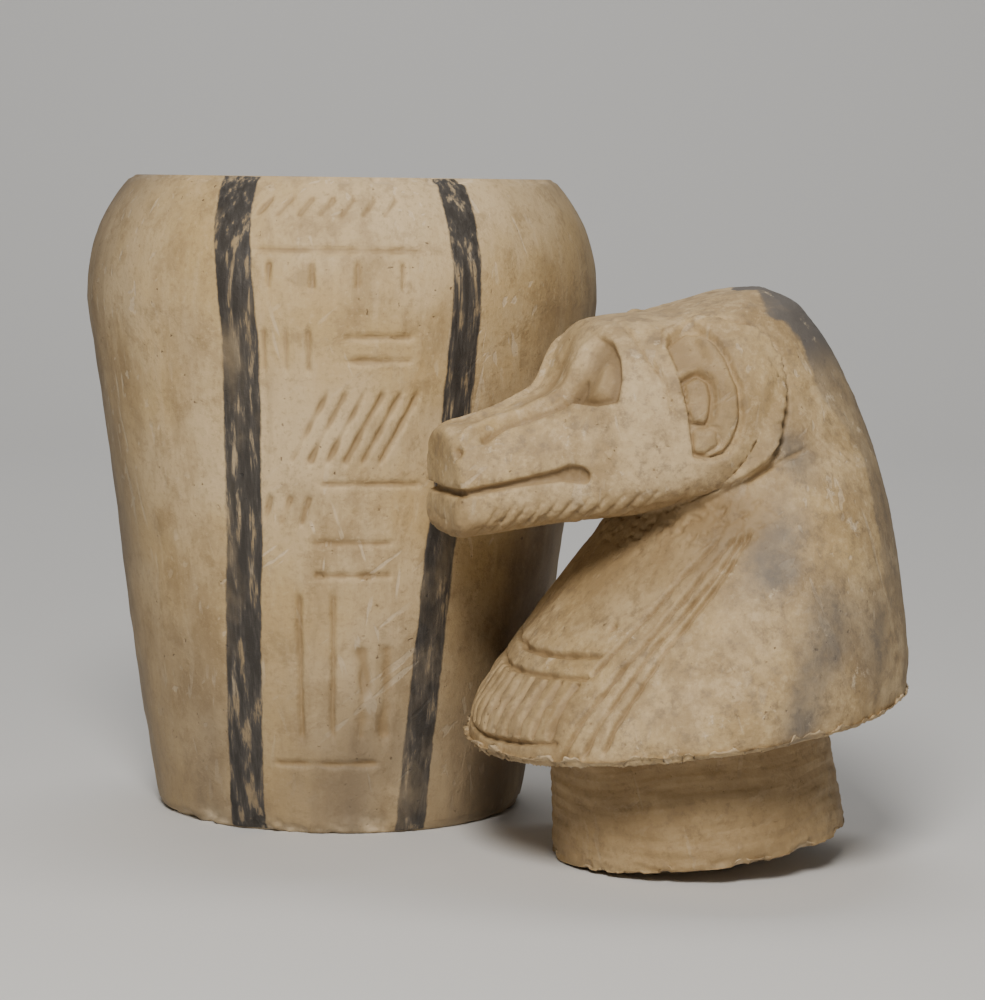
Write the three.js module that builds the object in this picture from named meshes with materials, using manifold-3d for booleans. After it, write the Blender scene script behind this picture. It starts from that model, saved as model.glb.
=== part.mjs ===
// A canopic jar in limestone: the open jar, and beside it the stopper lid carved as a baboon's head.
// Units are millimetres and +Z is up. The origin is the centre of the jar's flat underside,
// the carved column faces -Y, and the lid stands at the right, in front of the jar.
import * as THREE from 'three';
import { mergeVertices } from 'three/addons/utils/BufferGeometryUtils.js';
import Module from 'manifold-3d';

const { lerp, degToRad } = THREE.MathUtils;
const wasm = await Module();
wasm.setup();

// Jar, outside
const JAR_HEIGHT = 240;
const BASE_RADIUS = 70;
const SHOULDER_RADIUS = 97.2;
const SHOULDER_HEIGHT = 194;
const RIM_RADIUS = 80.6;
const WALL_BULGE = 0.7;
const BASE_EDGE = 2.5;
const SHOULDER_ROUNDNESS = 2.5;

// Plug of the lid
const PLUG_NECK_RADIUS = 50.2;
const PLUG_END_RADIUS = 53.5;
const PLUG_LENGTH = 44.5;
const PLUG_NECK_LENGTH = 9;

// Jar, inside
const PLUG_CLEARANCE = 3;
const MOUTH_RADIUS = PLUG_END_RADIUS + PLUG_CLEARANCE;
const MOUTH_DEPTH = PLUG_LENGTH + 2 * PLUG_CLEARANCE;
const BELLY_RADIUS = 63;
const BELLY_DROP = 26;
const HOLLOW_FLOOR_RADIUS = 40;
const FLOOR_THICKNESS = 28;
const FLOOR_CORNER = 14;

// Carved column on the jar, between two painted bands
const COLUMN_HALF_ANGLE = degToRad(29);
const STROKE_WIDTH = 2.8;
const BROAD_STROKE_WIDTH = 6;
const STROKE_DEPTH = 1.3;

// Lid: its cape has the radius of the rim it sits on, and the head is laid out in shares of its height
const LID_HEIGHT = 148;
const CAPE_RADIUS = RIM_RADIUS;
const CAPE_EDGE = 2;
const GROOVE_WIDTH = 2.4;
const GROOVE_DEPTH = 1.4;
const MANE_RAISE = 4;
const EYE_DEPTH = 3.2;
const EAR_DEPTH = 2.8;
const MOUTH_WIDTH = 3;
const MOUTH_CUT = 3;
const MOUTH_END_WIDTH = 7;
const NOSE_HOLLOW_WIDTH = 9;
const BRIDGE_HALF_WIDTH = 14;
const NOSTRIL_SIZE = { forward: 3, across: 3, up: 3.5 };
const NOSTRIL_PLACE = { across: 0.095, up: 0.727 };
const COLLAR_HALF_ANGLE = degToRad(31.5);
const COLLAR_LINES = [0.232, 0.186, 0.052];
const FRINGE_TOP = 0.178;
const FRINGE_FOOT = 0.06;
const FRINGE_COUNT = 11;

// Where the lid stands: turned, leaning forward on the front edge of its plug and on a lump under it
const LID_GAP = 6;
const LID_BEARING = degToRad(-35.3);
const LID_HEADING = degToRad(200);
const LID_LEAN = degToRad(7.5);
const LUMP_RADIUS = 27;
const LUMP_SLOPE = 8;
const LUMP_HEIGHT = 16;
const LUMP_FORWARD = 8;

// Fineness of the facets
const JAR_SIDES = 48;
const WALL_ROWS = 4;
const SHOULDER_ROWS = 6;
const CORNER_STEPS = 4;
const HOLLOW_SIDES = 36;
const CAPE_SIDES = 44;
const CAPE_ROWS = 14;
const HEAD_SIDES = 28;
const HEAD_ROWS = 16;
const CUT_LIFT = 2;
const GROOVE_TAPER_SHARE = 0.35;
const FACE_GROOVE_STEPS = 5;
const LAPPET_STEPS = 4;
const FRAME_STEP = 0.001;

// Surface of the jar's wall: a nearly straight taper, then a shoulder that rounds in to the rim
function jarRadius(height) {
  if (height < SHOULDER_HEIGHT) {
    const share = height / SHOULDER_HEIGHT;
    return lerp(BASE_RADIUS, SHOULDER_RADIUS, share) + WALL_BULGE * 4 * share * (1 - share);
  }
  const rise = (height - SHOULDER_HEIGHT) / (JAR_HEIGHT - SHOULDER_HEIGHT);
  return SHOULDER_RADIUS - (SHOULDER_RADIUS - RIM_RADIUS) * Math.pow(Math.min(rise, 1), SHOULDER_ROUNDNESS);
}

// A place on the jar's carved column: across runs from -1 to 1 between the bands, up is a share of its height
function jarSkin(across, up, lift) {
  const angle = across * COLUMN_HALF_ANGLE;
  const radius = jarRadius(up * JAR_HEIGHT) + lift;
  return new THREE.Vector3(radius * Math.sin(angle), -radius * Math.cos(angle), up * JAR_HEIGHT);
}

// Rows of numbers, one row for each station, as a smooth function of the first number
function alongStations(rows) {
  const places = rows.map((row) => row[0]);
  const sizes = rows.flatMap((row) => row.slice(1));
  const curve = new THREE.CubicInterpolant(places, sizes, rows[0].length - 1, []);
  return (place) => [...curve.evaluate(place)];
}

// The cape, from its edge up to the crown: height in shares of the lid's height,
// then its reach back, its reach forward and its half width in shares of its radius
const capeAt = alongStations([
  [0.0, 1.0, 1.0, 1.0],
  [0.08, 1.0, 0.935, 0.99],
  [0.19, 1.0, 0.758, 0.944],
  [0.36, 0.991, 0.431, 0.841],
  [0.46, 0.978, 0.248, 0.77],
  [0.54, 0.965, 0.15, 0.702],
  [0.635, 0.941, 0.17, 0.627],
  [0.73, 0.898, 0.236, 0.579],
  [0.825, 0.835, 0.255, 0.529],
  [0.91, 0.752, 0.195, 0.45],
  [0.965, 0.675, 0.04, 0.34],
  [1.0, 0.56, -0.28, 0.16],
]);

// A place on the cape: turn is the angle from the front, up is a share of the lid's height
function capeSkin(turn, up, lift) {
  const [back, front, half] = capeAt(up);
  const centre = (front - back) / 2;
  const reach = (front + back) / 2;
  return new THREE.Vector3(
    (centre + reach * Math.cos(turn)) * CAPE_RADIUS + lift * Math.cos(turn),
    half * Math.sin(turn) * CAPE_RADIUS + lift * Math.sin(turn),
    up * LID_HEIGHT,
  );
}

// The head, from inside the cape to the end of the muzzle, in shares of the lid's height:
// how far forward, then its top, its underside, its widest level and its half width
const headAt = alongStations([
  [-0.27, 0.925, 0.71, 0.83, 0.2],
  [-0.18, 0.962, 0.63, 0.76, 0.295],
  [-0.07, 0.974, 0.57, 0.71, 0.318],
  [0.02, 0.978, 0.54, 0.69, 0.318],
  [0.1, 0.98, 0.525, 0.67, 0.297],
  [0.155, 0.972, 0.52, 0.66, 0.274],
  [0.195, 0.934, 0.52, 0.65, 0.25],
  [0.25, 0.852, 0.52, 0.64, 0.215],
  [0.32, 0.815, 0.52, 0.635, 0.182],
  [0.42, 0.79, 0.52, 0.63, 0.154],
  [0.5, 0.784, 0.52, 0.63, 0.137],
  [0.545, 0.779, 0.522, 0.63, 0.13],
]);
const HEAD_BACK_SHARE = -0.27;
const MUZZLE_END_SHARE = 0.545;
const MUZZLE_EDGE = 3;
const UPPER_ROUNDNESS = 2.4;
const LOWER_ROUNDNESS = 3.4;
const CHIN_REACH_SHARE = 0.018;
const CHIN_LEVEL_SHARE = 0.56;
const CHIN_HALF_HEIGHT_SHARE = 0.07;
const CHIN_LENGTH_SHARE = 0.12;

// The chin stands out beyond the nose, more the nearer the end of the muzzle
function chinPush(forward, up) {
  const near = THREE.MathUtils.smoothstep(forward, MUZZLE_END_SHARE - CHIN_LENGTH_SHARE, MUZZLE_END_SHARE);
  const level = Math.abs(up - CHIN_LEVEL_SHARE) / CHIN_HALF_HEIGHT_SHARE;
  return CHIN_REACH_SHARE * near * Math.max(0, 1 - level * level);
}

// A place on the side of the head, seen from that side: forward and up are shares of the lid's height
function headSkin(forward, up, lift) {
  const [top, bottom, level, half] = headAt(forward);
  const above = up > level;
  const share = above ? (up - level) / (top - level) : (level - up) / (level - bottom);
  const power = above ? UPPER_ROUNDNESS : LOWER_ROUNDNESS;
  const width = half * Math.pow(Math.max(0, 1 - Math.pow(Math.min(share, 1), power)), 1 / power);
  return new THREE.Vector3(forward * LID_HEIGHT, width * LID_HEIGHT + lift, up * LID_HEIGHT);
}

// A place on the top of the head, seen from above: forward and across are shares of the lid's height
function browSkin(forward, across, lift) {
  const [top, , level, half] = headAt(forward);
  const share = Math.min(Math.abs(across) / half, 1);
  const up = level + (top - level) * Math.pow(1 - Math.pow(share, UPPER_ROUNDNESS), 1 / UPPER_ROUNDNESS);
  return new THREE.Vector3(forward * LID_HEIGHT, across * LID_HEIGHT, up * LID_HEIGHT + lift);
}

// Move every vertex of a geometry by a function, and weld the vertices that meet
function reshape(geometry, place) {
  geometry.deleteAttribute('normal');
  geometry.deleteAttribute('uv');
  const welded = mergeVertices(geometry);
  const points = welded.attributes.position;
  const corner = new THREE.Vector3();
  for (let i = 0; i < points.count; i += 1) {
    corner.fromBufferAttribute(points, i);
    const moved = place(corner);
    points.setXYZ(i, moved.x, moved.y, moved.z);
  }
  return welded;
}

function signedVolume(points, corners) {
  const a = new THREE.Vector3();
  const b = new THREE.Vector3();
  const c = new THREE.Vector3();
  let sum = 0;
  for (let i = 0; i < corners.length; i += 3) {
    a.fromBufferAttribute(points, corners[i]);
    b.fromBufferAttribute(points, corners[i + 1]);
    c.fromBufferAttribute(points, corners[i + 2]);
    sum += a.dot(b.cross(c)) / 6;
  }
  return sum;
}

// A closed geometry as a solid with its faces turned outwards, whichever side it was bent to
function solidOf(geometry) {
  const welded = reshape(geometry.clone(), (corner) => corner);
  const points = welded.attributes.position;
  const triVerts = Uint32Array.from(welded.index.array);
  if (signedVolume(points, triVerts) < 0) {
    for (let i = 0; i < triVerts.length; i += 3) {
      [triVerts[i], triVerts[i + 1]] = [triVerts[i + 1], triVerts[i]];
    }
  }
  const vertProperties = Float32Array.from(points.array);
  return new wasm.Manifold(new wasm.Mesh({ numProp: 3, vertProperties, triVerts }));
}

function geometryOf(solid) {
  const mesh = solid.getMesh();
  const geometry = new THREE.BufferGeometry();
  geometry.setAttribute('position', new THREE.BufferAttribute(mesh.vertProperties, 3));
  geometry.setIndex(new THREE.BufferAttribute(mesh.triVerts, 1));
  geometry.computeVertexNormals();
  return geometry;
}

function mirrored(solid) {
  return solidOf(reshape(geometryOf(solid), (corner) => corner.setY(-corner.y)));
}

// A solid of revolution about +Z, from a profile of radius and height
function turned(profile, sides) {
  const points = profile.map(([radius, height]) => new THREE.Vector2(radius, height));
  const lathe = new THREE.LatheGeometry(points, sides);
  return solidOf(lathe.rotateX(Math.PI / 2));
}

// Directions on a skin at a place: ahead along the groove, to its side and out of the surface
function skinFrame(skin, place, step) {
  const here = skin(place.x, place.y, 0);
  const out = skin(place.x, place.y, 1).sub(here).normalize();
  const ahead = skin(place.x + step.x, place.y + step.y, 0).sub(here);
  const side = new THREE.Vector3().crossVectors(out, ahead).normalize();
  return { here, side, out };
}

// A cutter for a groove on a skin, along a smooth path through places on it
function groove(skin, places, width, depth, steps) {
  const path = new THREE.SplineCurve(places.map(([u, v]) => new THREE.Vector2(u, v)));
  return solidOf(reshape(new THREE.BoxGeometry(1, 1, 1, steps, 1, 1), (corner) => {
    const along = corner.x + 0.5;
    const place = path.getPoint(along);
    const step = path.getTangent(along).multiplyScalar(FRAME_STEP);
    const { here, side, out } = skinFrame(skin, place, step);
    const deep = corner.z < 0;
    here.addScaledVector(side, corner.y * width * (deep ? GROOVE_TAPER_SHARE : 1));
    return here.addScaledVector(out, deep ? -depth : CUT_LIFT);
  }));
}

// A solid with an outline drawn from the lid's side, in shares of its height, that runs right across it
function sideBlock(outline) {
  const shape = new THREE.Shape(outline.map(([u, v]) => new THREE.Vector2(u * LID_HEIGHT, v * LID_HEIGHT)));
  const across = CAPE_RADIUS * 2;
  const block = new THREE.ExtrudeGeometry(shape, { depth: across, bevelEnabled: false });
  return solidOf(block.translate(0, 0, -across / 2).rotateX(Math.PI / 2));
}

// Points evenly round an oval
function oval(centre, halfAcross, halfUp, count) {
  return Array.from({ length: count }, (_, i) => {
    const around = (i / count) * 2 * Math.PI;
    return [centre[0] + halfAcross * Math.cos(around), centre[1] + halfUp * Math.sin(around)];
  });
}

function jarBody() {
  const wallHeights = [BASE_EDGE];
  for (let i = 1; i <= WALL_ROWS; i += 1) {
    wallHeights.push(lerp(BASE_EDGE, SHOULDER_HEIGHT, i / WALL_ROWS));
  }
  for (let i = 1; i <= SHOULDER_ROWS; i += 1) {
    wallHeights.push(lerp(SHOULDER_HEIGHT, JAR_HEIGHT, Math.sqrt(i / SHOULDER_ROWS)));
  }
  const outside = wallHeights.map((height) => [jarRadius(height), height]);
  return turned([[0, 0], [BASE_RADIUS - BASE_EDGE, 0], ...outside, [0, JAR_HEIGHT]], JAR_SIDES);
}

function jarHollow() {
  const mouthEnd = JAR_HEIGHT - MOUTH_DEPTH;
  const corner = [];
  for (let i = 0; i <= CORNER_STEPS; i += 1) {
    const angle = (i / CORNER_STEPS) * (Math.PI / 2);
    corner.push([
      HOLLOW_FLOOR_RADIUS - FLOOR_CORNER * (1 - Math.sin(angle)),
      FLOOR_THICKNESS + FLOOR_CORNER * (1 - Math.cos(angle)),
    ]);
  }
  return turned([
    [0, FLOOR_THICKNESS],
    ...corner,
    [BELLY_RADIUS, mouthEnd - BELLY_DROP],
    [MOUTH_RADIUS, mouthEnd],
    [MOUTH_RADIUS, JAR_HEIGHT + CUT_LIFT],
    [0, JAR_HEIGHT + CUT_LIFT],
  ], HOLLOW_SIDES);
}

// Rows of plain strokes down the column. Each row has its height, its first stroke's place across, the
// step across and down to the next stroke, the number of strokes, and how far a stroke reaches each way
const STROKE_ROWS = [
  { up: 0.955, first: -0.55, step: 0.17, drop: 0, count: 7, across: 0.06, rise: 0.014 },
  { up: 0.892, first: 0.04, step: 0, drop: 0, count: 1, across: 0.66, rise: 0 },
  { up: 0.855, first: -0.46, step: 0.33, drop: 0, count: 4, across: 0, rise: 0.019 },
  { up: 0.745, first: -0.5, step: 0.17, drop: 0, count: 3, across: 0, rise: 0.032 },
  { up: 0.765, first: 0.36, step: 0, drop: 0.035, count: 2, across: 0.26, rise: 0 },
  { up: 0.63, first: -0.16, step: 0.14, drop: 0, count: 6, across: 0.15, rise: 0.055 },
  { up: 0.545, first: 0.33, step: 0, drop: 0, count: 1, across: 0.42, rise: 0 },
  { up: 0.505, first: -0.52, step: 0.16, drop: 0, count: 3, across: 0.04, rise: 0.022 },
  { up: 0.455, first: 0.2, step: 0, drop: 0.05, count: 2, across: 0.34, rise: 0 },
  { up: 0.265, first: -0.27, step: 0.3, drop: 0, count: 2, across: 0, rise: 0.115 },
  { up: 0.225, first: 0.3, step: 0.22, drop: 0, count: 2, across: 0, rise: 0.075, broad: true },
  { up: 0.112, first: -0.04, step: 0, drop: 0, count: 1, across: 0.52, rise: 0 },
];

function strokeCutters() {
  return STROKE_ROWS.flatMap(({ up, first, step, drop, count, across, rise, broad }) => {
    const width = broad ? BROAD_STROKE_WIDTH : STROKE_WIDTH;
    const steps = Math.max(1, Math.ceil(Math.max(across * 12, rise * 25)));
    return Array.from({ length: count }, (_, i) => {
      const middle = [first + i * step, up - i * drop];
      const from = [middle[0] - across, middle[1] - rise];
      const to = [middle[0] + across, middle[1] + rise];
      return groove(jarSkin, [from, to], width, STROKE_DEPTH, steps);
    });
  });
}

function jarSolid() {
  return strokeCutters().reduce((jar, cutter) => jar.subtract(cutter), jarBody().subtract(jarHollow()));
}

// The cape and the back of the head, as one bell that closes at the crown
function capeSolid() {
  const bell = new THREE.CylinderGeometry(1, 1, 1, CAPE_SIDES, CAPE_ROWS);
  return solidOf(reshape(bell, (corner) => {
    const up = corner.y + 0.5;
    const turn = Math.atan2(corner.x, corner.z);
    const centre = Math.hypot(corner.x, corner.z) < 0.5;
    const edge = up === 0 ? -CAPE_EDGE / 2 : 0;
    if (centre) {
      const middle = capeSkin(0, up, 0).add(capeSkin(Math.PI, up, 0)).multiplyScalar(0.5);
      return middle;
    }
    return capeSkin(turn, up, edge);
  }));
}

// The head from the skull to the muzzle, grown by a thickness all round. Its last row is drawn in, so that
// the end of the muzzle has a blunt edge
function headSolid(grow) {
  const tube = new THREE.CylinderGeometry(1, 1, 1, HEAD_SIDES, HEAD_ROWS);
  const lastRow = 1 - 1 / HEAD_ROWS;
  const edge = MUZZLE_EDGE / LID_HEIGHT;
  return solidOf(reshape(tube, (corner) => {
    const along = corner.y + 0.5;
    const atEnd = along > (1 + lastRow) / 2;
    const drawnIn = atEnd ? edge : 0;
    const share = Math.min(along / lastRow, 1);
    const forward = lerp(HEAD_BACK_SHARE, MUZZLE_END_SHARE - edge, share) + drawnIn;
    const [fullTop, fullBottom, level, fullHalf] = headAt(forward);
    const [top, bottom, half] = [fullTop - drawnIn, fullBottom + drawnIn, fullHalf - drawnIn];
    const reach = Math.hypot(corner.x, corner.z);
    const sine = reach < 0.5 ? 0 : corner.x / reach;
    const cosine = reach < 0.5 ? 0 : corner.z / reach;
    const power = sine > 0 ? UPPER_ROUNDNESS : LOWER_ROUNDNESS;
    const spread = Math.abs(sine) ** power + Math.abs(cosine) ** power;
    const stretch = reach < 0.5 ? 0 : Math.pow(spread, -1 / power);
    const rise = (sine > 0 ? top - level : level - bottom) * LID_HEIGHT + grow;
    const up = level * LID_HEIGHT + sine * stretch * rise;
    const push = chinPush(forward, up / LID_HEIGHT) * LID_HEIGHT;
    return new THREE.Vector3(
      forward * LID_HEIGHT + push,
      cosine * stretch * (half * LID_HEIGHT + grow),
      up,
    );
  }));
}

// The raised pad of the mane behind each cheek, cut from a grown copy of the head
function manePads() {
  return headSolid(MANE_RAISE).intersect(sideBlock([
    [0.048, 0.55], [0.048, 0.93], [0.03, 0.95], [-0.056, 0.956], [-0.106, 0.945], [-0.157, 0.923],
    [-0.186, 0.899], [-0.203, 0.861], [-0.209, 0.803], [-0.2, 0.76], [-0.182, 0.713], [-0.161, 0.661],
    [-0.135, 0.626], [-0.06, 0.593], [-0.006, 0.57],
  ]));
}

// A cut of even depth into both sides of the head, or into its mane: an outline, less what stands in it
function sideHollow(surface, depth, outline, island) {
  const skin = headSolid(surface + CUT_LIFT * 2).subtract(headSolid(surface - depth));
  return skin.intersect(sideBlock(outline).subtract(sideBlock(island)));
}

// Hollows with something left standing in them: the eye, and the ear with its inner lobe
function eyeHollows() {
  const rim = [
    [0.265, 0.815], [0.225, 0.797], [0.185, 0.805], [0.168, 0.85], [0.153, 0.9], [0.148, 0.942],
    [0.168, 0.95], [0.192, 0.925], [0.223, 0.87],
  ];
  const ball = [
    [0.243, 0.815], [0.222, 0.81], [0.198, 0.818], [0.18, 0.85], [0.17, 0.89], [0.181, 0.903],
    [0.203, 0.884], [0.228, 0.848],
  ];
  const bridge = new THREE.BoxGeometry(2 * LID_HEIGHT, 2 * BRIDGE_HALF_WIDTH, 3 * LID_HEIGHT);
  return sideHollow(0, EYE_DEPTH, rim, ball).subtract(solidOf(bridge));
}

function earHollows() {
  const rim = oval([-0.018, 0.795], 0.07, 0.143, 16);
  const lobe = oval([0.014, 0.788], 0.035, 0.061, 10);
  return sideHollow(MANE_RAISE, EAR_DEPTH, rim, lobe);
}

// Grooves on the near side of the head: edge of the nose, mouth and its end, and the cheek line
function faceCutters() {
  const noseSide = [[0.25, 0.128], [0.31, 0.108], [0.38, 0.088], [0.468, 0.094]];
  const mouth = [[MUZZLE_END_SHARE + 0.02, 0.632], [0.42, 0.642], [0.28, 0.652]];
  const mouthEnd = [[0.3, 0.646], [0.258, 0.634]];
  const cheek = [[0.106, 0.965], [0.1, 0.91], [0.078, 0.85], [0.076, 0.76]];
  return [
    groove(browSkin, noseSide, GROOVE_WIDTH, GROOVE_DEPTH, FACE_GROOVE_STEPS),
    groove(headSkin, mouth, MOUTH_WIDTH, MOUTH_CUT, FACE_GROOVE_STEPS),
    groove(headSkin, mouthEnd, MOUTH_END_WIDTH, MOUTH_CUT, 1),
    groove(headSkin, cheek, GROOVE_WIDTH, GROOVE_DEPTH, 4),
  ];
}

// The hollow that runs down the middle of the nose, between its two raised edges
function noseCutter() {
  const middle = [[0.2, 0], [0.32, 0], [0.47, 0]];
  return groove(browSkin, middle, NOSE_HOLLOW_WIDTH, GROOVE_DEPTH, FACE_GROOVE_STEPS);
}

function nostrilCutters() {
  return [-1, 1].map((side) => {
    const ball = new THREE.SphereGeometry(1, 10, 8);
    ball.scale(NOSTRIL_SIZE.forward, NOSTRIL_SIZE.across, NOSTRIL_SIZE.up);
    const place = new THREE.Vector3(MUZZLE_END_SHARE, side * NOSTRIL_PLACE.across, NOSTRIL_PLACE.up);
    place.multiplyScalar(LID_HEIGHT);
    return solidOf(ball.translate(place.x, place.y, place.z));
  });
}

// Grooves on the near half of the cape: the wig's lappet, the collar and its fringe
function capeCutters() {
  const lappet = [
    [[51, 0.47], [44, 0.4], [33.3, 0.225], [32, 0.19]],
    [[57, 0.473], [51.1, 0.405], [40.3, 0.208], [33.5, 0.02]],
    [[60, 0.48], [55.5, 0.394], [46.8, 0.257], [40, 0.03]],
    [[62.5, 0.485], [57.9, 0.383], [50.7, 0.247], [45, 0.03]],
  ].map((places) => places.map(([turn, up]) => [degToRad(turn), up]));
  return lappet.map((places) => groove(capeSkin, places, GROOVE_WIDTH, GROOVE_DEPTH, LAPPET_STEPS));
}

// Grooves that run right across the chest, and the fringe between the lower two
function chestCutters() {
  const edge = COLLAR_HALF_ANGLE;
  const lines = COLLAR_LINES.map((up) => (
    groove(capeSkin, [[-edge, up], [edge, up]], GROOVE_WIDTH, GROOVE_DEPTH, 8)
  ));
  const fringe = Array.from({ length: FRINGE_COUNT }, (_, i) => {
    const turn = lerp(-edge, edge, (i + 0.5) / FRINGE_COUNT);
    return groove(capeSkin, [[turn, FRINGE_TOP], [turn, FRINGE_FOOT]], GROOVE_WIDTH, GROOVE_DEPTH, 1);
  });
  return [...lines, ...fringe];
}

// The plug turns in the lid's own frame, and a lump under it ends flat on the floor
function plugSolid(seat) {
  const overlap = CAPE_EDGE * 3;
  const plug = turned([
    [0, -PLUG_LENGTH], [PLUG_END_RADIUS, -PLUG_LENGTH], [PLUG_NECK_RADIUS, -PLUG_NECK_LENGTH],
    [PLUG_NECK_RADIUS, overlap], [0, overlap],
  ], HOLLOW_SIDES);
  const lump = new THREE.CylinderGeometry(LUMP_RADIUS + LUMP_SLOPE, LUMP_RADIUS, LUMP_HEIGHT, 24);
  lump.rotateX(Math.PI / 2).translate(LUMP_FORWARD, 0, LUMP_HEIGHT / 2);
  lump.rotateY(-LID_LEAN).translate(0, 0, -seat);
  return plug.add(solidOf(lump));
}

function lidSolid(seat) {
  const near = [...faceCutters(), ...capeCutters()];
  const middle = [eyeHollows(), earHollows(), noseCutter(), ...nostrilCutters(), ...chestCutters()];
  const cutters = [...near, ...near.map(mirrored), ...middle];
  const block = capeSolid().add(headSolid(0)).add(manePads());
  return cutters.reduce((lid, cutter) => lid.subtract(cutter), block).add(plugSolid(seat));
}

function stone(color) {
  return new THREE.MeshStandardMaterial({ color, roughness: 0.85, metalness: 0 });
}

const jar = new THREE.Mesh(geometryOf(jarSolid()), stone(0xc9b391));
jar.name = 'jar';

// Height of the cape's underside above the floor, measured along the leaning axis of the lid
const seat = PLUG_LENGTH + PLUG_END_RADIUS * Math.tan(LID_LEAN);
const lid = new THREE.Mesh(geometryOf(lidSolid(seat)), stone(0xbfa884));
lid.name = 'lid';
lid.position.z = seat;

const standing = new THREE.Group();
const distance = jarRadius(seat) + LID_GAP + CAPE_RADIUS;
standing.position.set(distance * Math.cos(LID_BEARING), distance * Math.sin(LID_BEARING), 0);
standing.rotation.set(0, LID_LEAN, LID_HEADING, 'ZYX');
standing.add(lid);

const group = new THREE.Group();
group.add(jar, standing);

export default group;
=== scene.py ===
# %% [markdown]
# # A limestone canopic jar and its baboon-headed lid
# The object is two blocks of limestone. The jar was turned and hollowed, polished, painted with two black
# bands and carved with a column of shallow strokes. The lid was carved by hand, so it has creases, chisel
# lines and chipped edges. Both are one solid each, so each becomes one mesh here, with its fine surface
# made by moving vertices with NumPy. The colours come from node materials that read the place on the object.

# %% Load the fixed model
import bpy
import math
import mathutils
import numpy as np
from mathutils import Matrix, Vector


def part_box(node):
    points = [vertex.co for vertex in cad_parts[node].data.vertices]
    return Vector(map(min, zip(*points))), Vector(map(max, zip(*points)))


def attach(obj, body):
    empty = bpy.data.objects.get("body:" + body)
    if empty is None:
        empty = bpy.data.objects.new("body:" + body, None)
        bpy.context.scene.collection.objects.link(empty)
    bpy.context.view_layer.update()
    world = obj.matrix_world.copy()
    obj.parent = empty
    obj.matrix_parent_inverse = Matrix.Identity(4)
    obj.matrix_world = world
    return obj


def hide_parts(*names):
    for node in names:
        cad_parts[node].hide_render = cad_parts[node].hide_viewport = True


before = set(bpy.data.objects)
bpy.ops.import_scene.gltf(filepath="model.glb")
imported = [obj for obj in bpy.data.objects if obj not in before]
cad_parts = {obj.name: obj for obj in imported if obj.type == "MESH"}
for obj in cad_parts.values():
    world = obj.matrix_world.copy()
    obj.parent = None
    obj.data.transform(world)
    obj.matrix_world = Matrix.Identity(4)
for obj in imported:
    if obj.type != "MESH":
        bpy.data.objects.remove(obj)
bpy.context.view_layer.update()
print("nodes", list(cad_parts))

# %% [markdown]
# ## Sizes
# The jar's height and its widest radius are read from the model. The other sizes repeat the model's own
# values in metres, because this script can't read the file that made it. The head of the lid is laid out
# in shares of the lid's height, as a carver lays a figure out on a grid.

# %% Driving sizes
MM = 0.001
jar_low, jar_high = (np.array(corner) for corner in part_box("jar"))
JAR_HEIGHT = jar_high[2] - jar_low[2]
SHOULDER_RADIUS = (jar_high[0] - jar_low[0]) / 2
BASE_RADIUS = 70 * MM
SHOULDER_HEIGHT = 194 * MM
RIM_RADIUS = 80.6 * MM
WALL_BULGE = 0.7 * MM
BASE_EDGE = 2.5 * MM
RIM_EDGE = 1.6 * MM
SHOULDER_ROUNDNESS = 2.5
MOUTH_RADIUS = 56.5 * MM
MOUTH_DEPTH = 50.5 * MM
BELLY_RADIUS = 63 * MM
BELLY_DROP = 26 * MM
HOLLOW_FLOOR_RADIUS = 40 * MM
FLOOR_THICKNESS = 28 * MM
FLOOR_CORNER = 14 * MM
COLUMN_HALF_ANGLE = math.radians(29)

PLUG_NECK_RADIUS = 50.2 * MM
PLUG_NECK_LENGTH = 9 * MM
PLUG_END_RADIUS = 53.5 * MM
PLUG_LENGTH = 44.5 * MM
LID_HEIGHT = 148 * MM
CAPE_RADIUS = RIM_RADIUS
LID_GAP = 6 * MM
LID_BEARING = math.radians(-35.3)
LID_HEADING = math.radians(200)
LID_LEAN = math.radians(7.5)
LUMP_RADIUS = 27 * MM
LUMP_SLOPE = 8 * MM
LUMP_HEIGHT = 16 * MM
LUMP_FORWARD = 8 * MM

WALL_ROWS = 236
JAR_COLUMNS = 292
FINE_ANGLE = math.radians(26)
FINE_SHARE = 0.54
WELD_DISTANCE = 0.005 * MM
CAPE_ROWS, CAPE_COLUMNS = 150, 260
HEAD_ROWS, HEAD_COLUMNS = 140, 220
PLUG_COLUMNS = 220
LUMP_COLUMNS = 80
LID_VOXEL = 0.75 * MM
TRIANGLE_LIMIT = 192000
print("jar height", round(JAR_HEIGHT, 4), "widest radius", round(SHOULDER_RADIUS, 4))

# %% [markdown]
# ## Small tools for shaping
# A carved surface is a smooth form with marks cut into it. The form is a mesh, and every mark is a function
# that says how deep it cuts at each vertex. Distances to lines and outlines are all that the marks need.
# Unevenness comes from noise: a sum of sine waves in many directions is smooth, cheap and always the same.
# `ease` goes smoothly from 0 at a low value to 1 at a high one, and so blends one thing into another.


# %% Steps, noise and distances
def ease(low, high, value):
    share = np.clip((value - low) / (high - low), 0, 1)
    return share * share * (3 - 2 * share)


def wave_noise(places, wavelength, seed, waves=24):
    """Smooth noise, about -1 to 1, with a wavelength in millimetres and a seed of its own for each use."""
    rng = np.random.default_rng(seed)
    directions = rng.normal(size=(waves, 3))
    directions /= np.linalg.norm(directions, axis=1, keepdims=True)
    lengths = wavelength * MM * rng.uniform(0.7, 1.6, waves)
    phases = rng.uniform(0, 2 * math.pi, waves)
    total = np.zeros(len(places))
    for direction, length, phase in zip(directions, lengths, phases):
        total += np.sin(places @ direction * (2 * math.pi / length) + phase)
    return total / math.sqrt(waves / 2) / 1.6


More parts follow.
